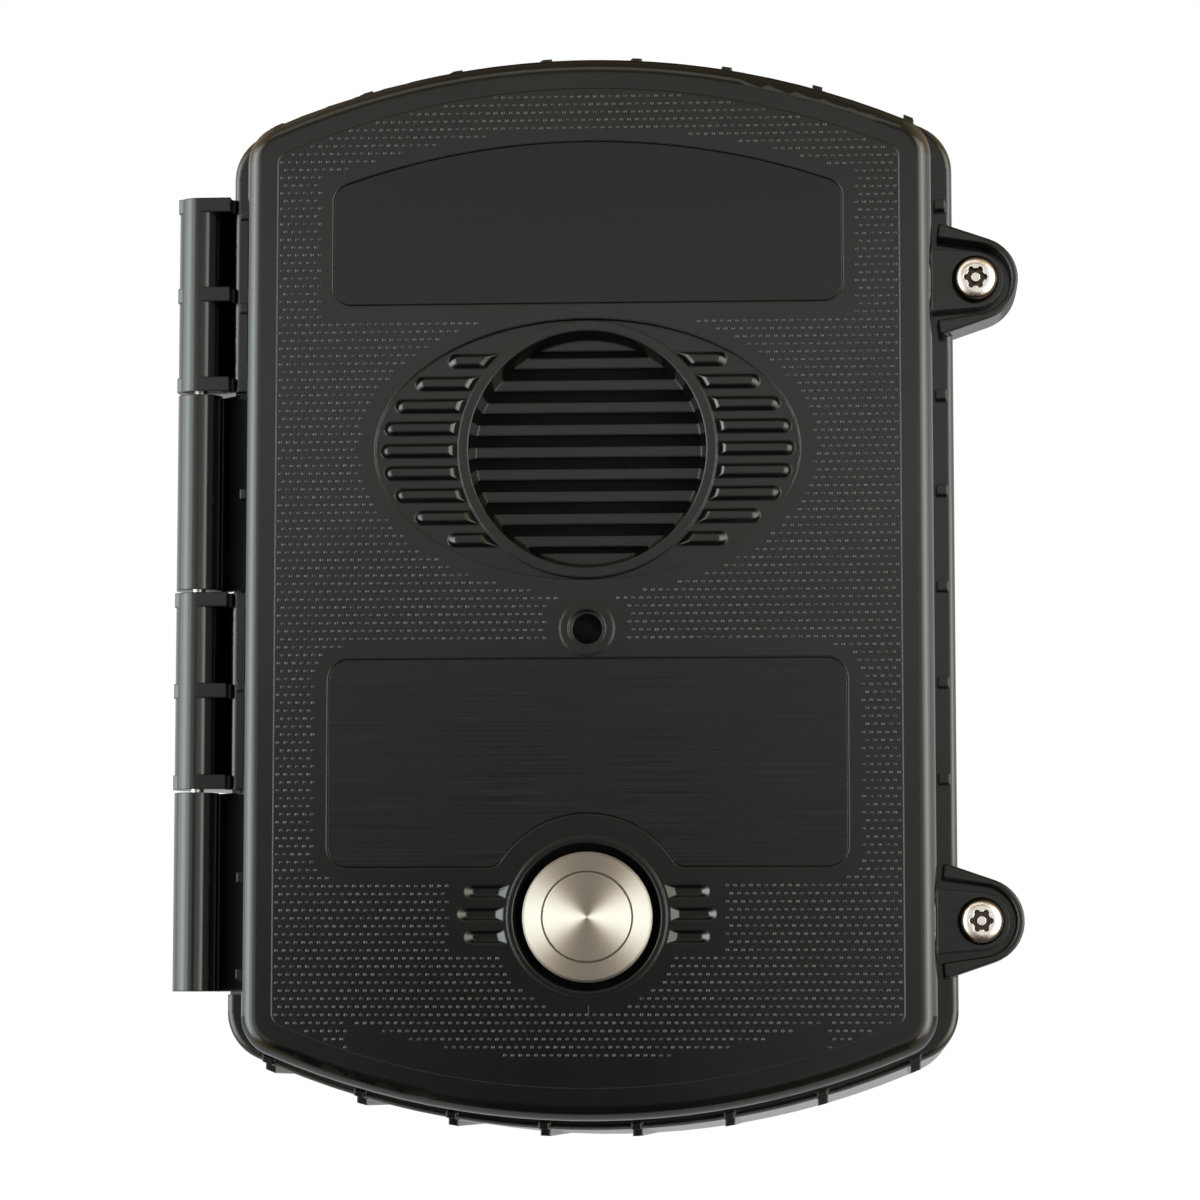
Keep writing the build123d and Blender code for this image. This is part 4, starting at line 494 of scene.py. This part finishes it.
def paint_shade_below(finish, top, start, end, dark, light):
    """Paint shade on a metal, darker from a start to an end depth below its top."""
    tree = finish.node_tree
    place = tree.nodes.new("ShaderNodeTexCoord")
    split_place = tree.nodes.new("ShaderNodeSeparateXYZ")
    tree.links.new(place.outputs["Object"], split_place.inputs[0])
    depth = tree.nodes.new("ShaderNodeMapRange")
    depth.interpolation_type = "SMOOTHSTEP"
    set_range(depth, top + start, top + end, RAMP_HIGH, RAMP_LOW)
    tree.links.new(split_place.outputs["Y"], depth.inputs["Value"])
    tint(finish, depth.outputs["Result"], dark, light)


cover_screw_steel_painted_shade = new_finish("cover_screw_steel_painted_shade", (0.70, 0.66, 0.60), 0.3, metallic=1.0)
head_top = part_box("upper_cover_screw")[0][1]
# painted shade: the recess and the dome's foot are coloured dark in place of shade, not grime
paint_shade_below(
    cover_screw_steel_painted_shade, head_top, start=0.0001, end=0.00055,
    dark=(0.07, 0.055, 0.04), light=(0.86, 0.83, 0.76),
)
screw_grain = pattern(cover_screw_steel_painted_shade, 3000, detail=3.0)
roughen(cover_screw_steel_painted_shade, screw_grain, low=0.20, high=0.34)
emboss(cover_screw_steel_painted_shade, screw_grain, height=0.000006, edge=0.0002)
zinc_plate = wear(
    new_finish("bright_zinc", (0.6, 0.6, 0.6), 0.32, metallic=1.0),
    mottle=120, dark=(0.50, 0.51, 0.53), light=(0.68, 0.68, 0.67),
    grain=1600, height=0.00001, rough=(0.24, 0.42),
)
turned_brass = wear(
    new_finish("turned_brass", (0.72, 0.53, 0.25), 0.3, metallic=1.0),
    mottle=150, dark=(0.62, 0.44, 0.19), light=(0.78, 0.58, 0.29),
    grain=2500, height=0.00001, rough=(0.22, 0.36),
)
METALS = (turned_steel, screw_steel, cover_screw_steel_painted_shade, zinc_plate, turned_brass)
print("metals:", [finish.name for finish in METALS])

# %% [markdown]
# ### Label film and the board
#
# The two label plates are a little darker than the case, with very fine streaks from side
# to side. A noise packed a hundred and twenty times tighter upwards than sideways makes
# such streaks. The plates are left bare.

# %% Label film, board and small plastics
label_film = new_finish("brushed_label_film", (0.003, 0.003, 0.0029), 0.18, specular=0.42)
streaks = pattern(label_film, 60, detail=4.0, stretch=(0.5, 1.0, 60.0))
tint(label_film, streaks, dark=(0.0020, 0.0021, 0.0019), light=(0.0042, 0.0043, 0.0039))
roughen(label_film, streaks, low=0.14, high=0.22)
emboss(label_film, streaks, height=0.000002, edge=0.0003)
board_mask = wear(
    new_finish("board_mask", (0.02, 0.16, 0.07), 0.3),
    mottle=160, dark=(0.012, 0.12, 0.05), light=(0.025, 0.19, 0.085),
    grain=700, height=0.00003, rough=(0.22, 0.4),
)
red_plastic = wear(
    new_finish("red_plastic", (0.55, 0.04, 0.03), 0.4),
    mottle=200, dark=(0.48, 0.03, 0.025), light=(0.60, 0.05, 0.035),
    grain=1500, height=0.00001, rough=(0.34, 0.5),
)
blue_sleeve = wear(
    new_finish("blue_sleeve", (0.03, 0.04, 0.12), 0.3),
    mottle=200, dark=(0.022, 0.03, 0.10), light=(0.04, 0.05, 0.15),
    grain=1200, height=0.00001, rough=(0.24, 0.4),
)
white_nylon = wear(
    new_finish("natural_nylon", (0.75, 0.74, 0.68), 0.45),
    mottle=150, dark=(0.70, 0.69, 0.62), light=(0.79, 0.78, 0.72),
    grain=1500, height=0.00001, rough=(0.4, 0.55),
)
print("label streaks on:", label_film.name)

# %% [markdown]
# ### Give each solid its finish
#
# The list names the solids of each finish. A solid keeps its mesh, and only what fills
# its material slots changes.

# %% Hand out the finishes
FINISHES = {
    case_plastic: ("rear_housing", "door"),
    tray_plastic: (
        "battery_tray", "upper_battery_strap", "lower_battery_strap", "speaker_clamps",
        "processor_chip", "button_contact_block", "aerial",
    ),
    soft_rubber: (
        "door_gasket", "speaker_gasket", "speaker_surround", "microphone_boot", "button_seal",
    ),
    cell_film: tuple(f"battery_cell_{number}" for number in range(1, 7)),
    sintered: ("speaker_magnet",),
    coated_paper: ("speaker_cone", "speaker_dust_cap"),
    felt_front: ("microphone_capsule",),
    woven_screen: ("splash_screen",),
    turned_steel: ("button_body", "button_cap"),
    cover_screw_steel_painted_shade: ("upper_cover_screw", "lower_cover_screw"),
    screw_steel: ("upper_screw_ring", "lower_screw_ring", "hinge_pin", "button_nut"),
    zinc_plate: (
        "tray_screws", "strap_screws", "speaker_screws", "board_screws",
        "battery_contact_plates", "battery_leaf_springs", "speaker_basket", "radio_shield",
        "button_terminals", "button_spring",
    ),
    turned_brass: ("threaded_inserts", "aerial_socket"),
    label_film: ("upper_label_plate", "lower_label_plate"),
    board_mask: ("circuit_board",),
    red_plastic: ("switch_block",),
    blue_sleeve: ("capacitors",),
    white_nylon: ("board_headers",),
}
dressed = set()
for finish, names in FINISHES.items():
    for name in names:
        for slot in nodes[name].material_slots:
            slot.material = finish
        dressed.add(name)
print("dressed:", len(dressed), "of", len(nodes), "left:", sorted(set(nodes) - dressed))

# %% [markdown]
# ## Helpers for new pieces
#
# A new piece is a bmesh that operators shape. It is then made an object at the origin,
# rides on the body that it moves with, and carries its finish in a material slot. The
# stipple and the bead start a hundredth of a millimetre inside the door's face, so that no
# gap shows under them.

# %% Make a piece
FACE_Y = -0.085                              # the door's face
SINK = 0.00001                               # how far a piece starts inside the face
FACING = Matrix.Rotation(pi / 2, 4, "X")     # turns an upright shape to point at the viewer


def make_piece(shape, name, body, finish, smooth=False):
    """Turn a finished shape into a piece that rides on a body."""
    mesh = bpy.data.meshes.new(name)
    shape.to_mesh(mesh)
    shape.free()
    mesh.materials.append(finish)
    mesh.polygons.foreach_set("use_smooth", [smooth] * len(mesh.polygons))
    piece = bpy.data.objects.new(name, mesh)
    scene.collection.objects.link(piece)
    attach(piece, body)
    print(name, "faces:", len(mesh.polygons))


print("the door's face is at Y =", FACE_Y)

# %% [markdown]
# ## The moulded stipple
#
# The smooth door would look bare: the real one has thousands of tiny raised points in
# staggered rows, with smooth borders round the plates, the grille, the microphone port
# and the button. Each place is tried against the borders before a point is set there.

# %% Where the stipple may go
HALF_W, HALF_H = 0.0765, 0.11815             # half the door's width and height
ARCH_DROP = 0.017                            # how far an end's arch falls towards the sides
ARCH_R = (HALF_W**2 + ARCH_DROP**2) / (2 * ARCH_DROP)
ARCH_MIDDLE = HALF_H - ARCH_R                # height of the upper arch's centre
DOOR_CORNER_R = 0.009
DOOR_CORNER_DROP = 0.0055                    # from the arch's foot down to a corner's centre
BORDER, FIRST_POINT = 0.0070, 0.0007         # border inside the edge; from there to the points
PLATE_BORDER, PLATE_CORNER_R = 0.0031, 0.0045
PLATE_SHOULDER_Z = 0.0886                    # where the upper plate's arch meets its sides
OVAL_Z = 0.0297                              # height of the grille's oval
OVAL_HALF_W, OVAL_HALF_H = 0.0472, 0.0292
OVAL_BORDER_W, OVAL_BORDER_H = 0.0034, 0.0032
MIC_Z, MIC_CLEAR_R = -0.01025, 0.0092        # the microphone port's height and clear circle
BUTTON_CLEAR_R = 0.0213
GROOVES_HALF_W, GROOVES_HALF_H = 0.0307, 0.0080
GROOVES_RISE = 0.0006                        # how far the grooves lie above the button's centre
LOW_FIELD_HALF_W, LOW_FIELD_H = 0.0530, 0.0132     # plain field at the door's lower edge


def inside_edge(x, z, inset):
    """Whether a point lies inside the door's arched outline, by an inset."""
    reach = sqrt(x**2 + (abs(z) - ARCH_MIDDLE) ** 2)
    corner_x = abs(x) - (HALF_W - DOOR_CORNER_R)
    corner_z = abs(z) - (HALF_H - ARCH_DROP - DOOR_CORNER_DROP)
    if corner_x > 0 and corner_z > 0 and sqrt(corner_x**2 + corner_z**2) > DOOR_CORNER_R - inset:
        return False
    return abs(x) < HALF_W - inset and reach < ARCH_R - inset


def on_upper_plate(x, z):
    """Whether a point lies on the upper plate or its smooth border."""
    low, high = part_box("upper_label_plate")
    rise = high[2] - PLATE_SHOULDER_Z
    arch = (high[0] ** 2 + rise**2) / (2 * rise)
    top = high[2] - arch + sqrt(arch**2 - min(abs(x), high[0]) ** 2) + PLATE_BORDER
    return abs(x) < high[0] + PLATE_BORDER and low[2] - PLATE_BORDER < z < top


def on_lower_plate(x, z):
    """Whether a point lies on the lower plate or its smooth border."""
    low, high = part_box("lower_label_plate")
    corner_x = abs(x) - (high[0] - PLATE_CORNER_R)
    corner_z = abs(z - (low[2] + high[2]) / 2) - ((high[2] - low[2]) / 2 - PLATE_CORNER_R)
    if corner_x > 0 and corner_z > 0:
        return sqrt(corner_x**2 + corner_z**2) < PLATE_CORNER_R + PLATE_BORDER
    return abs(x) < high[0] + PLATE_BORDER and low[2] - PLATE_BORDER < z < high[2] + PLATE_BORDER


def on_grille(x, z):
    """Whether a point lies on the grille's oval or its smooth border."""
    oval_x = x / (OVAL_HALF_W + OVAL_BORDER_W)
    oval_z = (z - OVAL_Z) / (OVAL_HALF_H + OVAL_BORDER_H)
    return oval_x**2 + oval_z**2 < 1


def by_microphone_or_button(x, z):
    """Whether a point lies by the microphone port, the button or the button's grooves."""
    by_port = sqrt(x**2 + (z - MIC_Z) ** 2) < MIC_CLEAR_R
    by_button = sqrt(x**2 + (z - button_z) ** 2) < BUTTON_CLEAR_R
    in_grooves = abs(x) < GROOVES_HALF_W and abs(z - button_z - GROOVES_RISE) < GROOVES_HALF_H
    return by_port or by_button or in_grooves


def on_low_field(x, z):
    """Whether a point lies on the plain field along the door's lower edge."""
    reach = sqrt(x**2 + (z + ARCH_MIDDLE) ** 2)
    return z < 0 and abs(x) < LOW_FIELD_HALF_W and reach > ARCH_R - LOW_FIELD_H


PLAIN_PLACES = (on_upper_plate, on_lower_plate, on_grille, by_microphone_or_button, on_low_field)
STEP_X, STEP_Z = 0.00171, 0.00176            # from point to point, and from row to row
ROWS, COLUMNS = 70, 50                       # on each side of the door's middle
rows = []
for row in range(-ROWS, ROWS + 1):
    z = row * STEP_Z
    line = [(column + 0.5 * (row % 2)) * STEP_X for column in range(-COLUMNS, COLUMNS + 1)]
    line = [x for x in line if inside_edge(x, z, BORDER + FIRST_POINT)]
    rows.append([(x, z) for x in line if not any(place(x, z) for place in PLAIN_PLACES)])
print("stipple points:", sum(len(row) for row in rows))

# %% [markdown]
# A point is a six-sided cone with a flat tip, so few faces serve thousands of them. A row
# at a time is shaped on its own and then added, which is much quicker than one long list
# of cones. No two points of a worn mould are quite alike, so their heights differ a
# little. The draws start from a fixed seed, and come out the same each time.

# %% Raise the stipple
POINT_H, POINT_FOOT_R, POINT_TIP_R = 0.00015, 0.00044, 0.00012
LEAST, MOST = 0.65, 1.1                      # shares of POINT_H
draws = Random(11)
stipple = bmesh.new()
row_mesh = bpy.data.meshes.new("one_row")
for row in rows:
    points = bmesh.new()
    for x, z in row:
        height = POINT_H * draws.uniform(LEAST, MOST)
        bmesh.ops.create_cone(
            points, cap_ends=True, segments=6,
            radius1=POINT_FOOT_R, radius2=POINT_TIP_R, depth=height,
            matrix=Matrix.Translation((x, FACE_Y - height / 2 + SINK, z)) @ FACING,
        )
    hidden = [face for face in points.faces if face.normal.y > 0.5]
    bmesh.ops.delete(points, geom=hidden, context="FACES_ONLY")
    points.to_mesh(row_mesh)
    points.free()
    stipple.from_mesh(row_mesh)
bpy.data.meshes.remove(row_mesh)
make_piece(stipple, "door_stipple", "door", case_plastic)

# %% [markdown]
# ## The bead round the stippled field
#
# A fine raised line follows the door's edge a few millimetres inside it, where the plain
# border ends. A curve with a thickness would do too. Here a face in the shape of the
# arched outline gives it: an inset leaves a narrow band, the middle goes, and a second
# inset with a depth lifts the band. Both insets have to be told to take in the open
# boundary, or they leave a lone face as it was.

# %% Draw the bead
BEAD_W, BEAD_H = 0.00032, 0.00009
BEAD_SLOPE = 0.3                             # width of each side's slope, as a share of BEAD_W
BEAD_CORNER = 0.0018
ARC_STEPS = 28
side_x = HALF_W - BORDER


def arched_outline(inset):
    """Points of the door's outline, moved inwards: an arc over each end and straight sides."""
    half = HALF_W - inset
    reach = ARCH_R - inset
    widest = atan2(half, sqrt(reach**2 - half**2))
    turns = [widest * (1 - 2 * step / ARC_STEPS) for step in range(ARC_STEPS + 1)]
    top = [(reach * sin(turn), ARCH_MIDDLE + reach * cos(turn)) for turn in turns]
    return top + [(-x, -z) for x, z in top]


bead = bmesh.new()
bead.faces.new([bead.verts.new((x, FACE_Y, z)) for x, z in arched_outline(BORDER)])
corner_verts = [vert for vert in bead.verts if isclose(abs(vert.co.x), side_x, abs_tol=0.00001)]
bmesh.ops.bevel(
    bead, geom=corner_verts, offset=BEAD_CORNER, segments=8, profile=0.5,
    affect="VERTICES", material=-1,
)
bmesh.ops.recalc_face_normals(bead, faces=bead.faces)
if bead.faces[:][0].normal.y > 0:
    bmesh.ops.reverse_faces(bead, faces=bead.faces)
bmesh.ops.inset_region(
    bead, faces=bead.faces[:], thickness=BEAD_W, use_boundary=True, use_even_offset=True
)
inner = max(bead.faces, key=lambda face: face.calc_area())
bmesh.ops.delete(bead, geom=[inner], context="FACES_ONLY")
bmesh.ops.translate(bead, verts=bead.verts, vec=(0, SINK, 0))
bmesh.ops.inset_region(
    bead, faces=bead.faces[:], thickness=BEAD_W * BEAD_SLOPE, depth=BEAD_H,
    use_boundary=True, use_even_offset=True,
)
make_piece(bead, "door_bead", "door", case_plastic)

# %% [markdown]
# A short line runs down from the button's collar, where two flows of hot plastic met
# behind the hole. It is a low ridge, two millimetres and a half long.

# %% Draw the flow line
FLOW_SIZE = (0.00018, 0.00014, 0.0026)
FLOW_X, FLOW_BELOW_BUTTON = 0.0004, 0.0206
FLOW_BEVEL = 0.00005
flow = bmesh.new()
flow_place = Matrix.Translation((FLOW_X, FACE_Y, button_z - FLOW_BELOW_BUTTON))
bmesh.ops.create_cube(flow, size=1.0, matrix=flow_place @ Matrix.Diagonal((*FLOW_SIZE, 1.0)))
bmesh.ops.bevel(
    flow, geom=flow.edges[:], offset=FLOW_BEVEL, segments=1, profile=0.5,
    affect="EDGES", material=-1,
)
make_piece(flow, "door_flow_line", "door", case_plastic)

# %% [markdown]
# ## A painted-shade liner in the button's recess
#
# The gap round the steel bezel is as black as a hole, which is shade. A thin, near-black,
# matt cup in the recess paints that shade on: it lines the floor and the wall, and takes the
# shine off both.
# Its section is an L of six corners, which is spun once round the button's axis.

# %% Spin the liner
RECESS_R, RECESS_FLOOR_Y = 0.0163, -0.081
BEZEL_R, BEZEL_GAP = 0.0143, 0.0001
LINER_T, LINER_GAP = 0.00022, 0.00003        # its thickness, and the air behind it
LINER_LIP_DROP = 0.0004                      # from the door's face down to its lip
LINER_STEPS = 96
# painted shade: a near-black matt cup put in the recess to stand in for its shade
painted_shade_liner_finish = wear(
    new_finish("matt_painted_shade_liner", (0.003, 0.003, 0.003), 0.9, specular=0.05),
    mottle=300, dark=(0.002, 0.002, 0.002), light=(0.005, 0.005, 0.005),
    grain=2500, height=0.00002, rough=(0.8, 0.95),
)
inside_r = BEZEL_R + BEZEL_GAP
wall_r = RECESS_R - LINER_GAP
foot_y = RECESS_FLOOR_Y - LINER_GAP
lip_y = FACE_Y + LINER_LIP_DROP
section = (
    (inside_r, foot_y), (wall_r, foot_y), (wall_r, lip_y),
    (wall_r - LINER_T, lip_y), (wall_r - LINER_T, foot_y - LINER_T), (inside_r, foot_y - LINER_T),
)


def outline_in(shape, places):
    """Join places into a closed outline of vertices and edges in a shape."""
    verts = [shape.verts.new(place) for place in places]
    return verts + [shape.edges.new(pair) for pair in zip(verts, verts[1:] + verts[:1])]


liner = bmesh.new()
bmesh.ops.spin(
    liner, geom=outline_in(liner, [(radius, y, button_z) for radius, y in section]),
    cent=(0, 0, button_z), axis=(0, 1, 0), dvec=(0, 0, 0),
    angle=2 * pi, steps=LINER_STEPS, use_merge=True, use_duplicate=False,
)
bmesh.ops.recalc_face_normals(liner, faces=liner.faces)
make_piece(liner, "button_recess_shade_liner", "door", painted_shade_liner_finish)

# %% [markdown]
# ## Screw threads
#
# Each cover screw has a thread below its head, which shows when the screw is backed out
# or the door stands open. A small triangle that is spun round the screw's axis, and
# moved along it a little at each step, draws a thread.

# %% Cut the threads
PITCH, STEPS_A_TURN = 0.001, 24
SHANK_R = 0.003
TOOTH_ROOT, TOOTH_TIP = 0.0001, 0.00028      # into the shank, and out of it
TOOTH_HALF, TOOTH_WHOLE = 0.45, 0.9          # along the shank, as shares of the pitch
TIP_PLAIN, RING_PLAIN = 0.0004, 0.0008       # plain lengths at the tip and at the ring
for which in ("upper", "lower"):
    low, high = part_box(f"{which}_cover_screw")
    axis_x, axis_z = (low[0] + high[0]) / 2, (low[2] + high[2]) / 2
    ring_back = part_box(f"{which}_screw_ring")[1][1]
    start = high[1] - TIP_PLAIN
    turns = int((start - ring_back - RING_PLAIN) / PITCH)
    tooth = (
        (axis_x + SHANK_R - TOOTH_ROOT, start, axis_z),
        (axis_x + SHANK_R + TOOTH_TIP, start - PITCH * TOOTH_HALF, axis_z),
        (axis_x + SHANK_R - TOOTH_ROOT, start - PITCH * TOOTH_WHOLE, axis_z),
    )
    thread = bmesh.new()
    bmesh.ops.spin(
        thread, geom=outline_in(thread, tooth), cent=(axis_x, start, axis_z), axis=(0, 1, 0),
        dvec=(0, -PITCH / STEPS_A_TURN, 0), angle=2 * pi * turns, steps=STEPS_A_TURN * turns,
        use_merge=False, use_duplicate=False,
    )
    bmesh.ops.holes_fill(thread, edges=[edge for edge in thread.edges if edge.is_boundary], sides=3)
    bmesh.ops.recalc_face_normals(thread, faces=thread.faces)
    make_piece(
        thread, f"{which}_screw_thread", f"{which}_cover_screw",
        screw_steel, smooth=True,
    )

# %% [markdown]
# ## Finish

# %% Set the view transform
scene.view_settings.view_transform = "Standard"
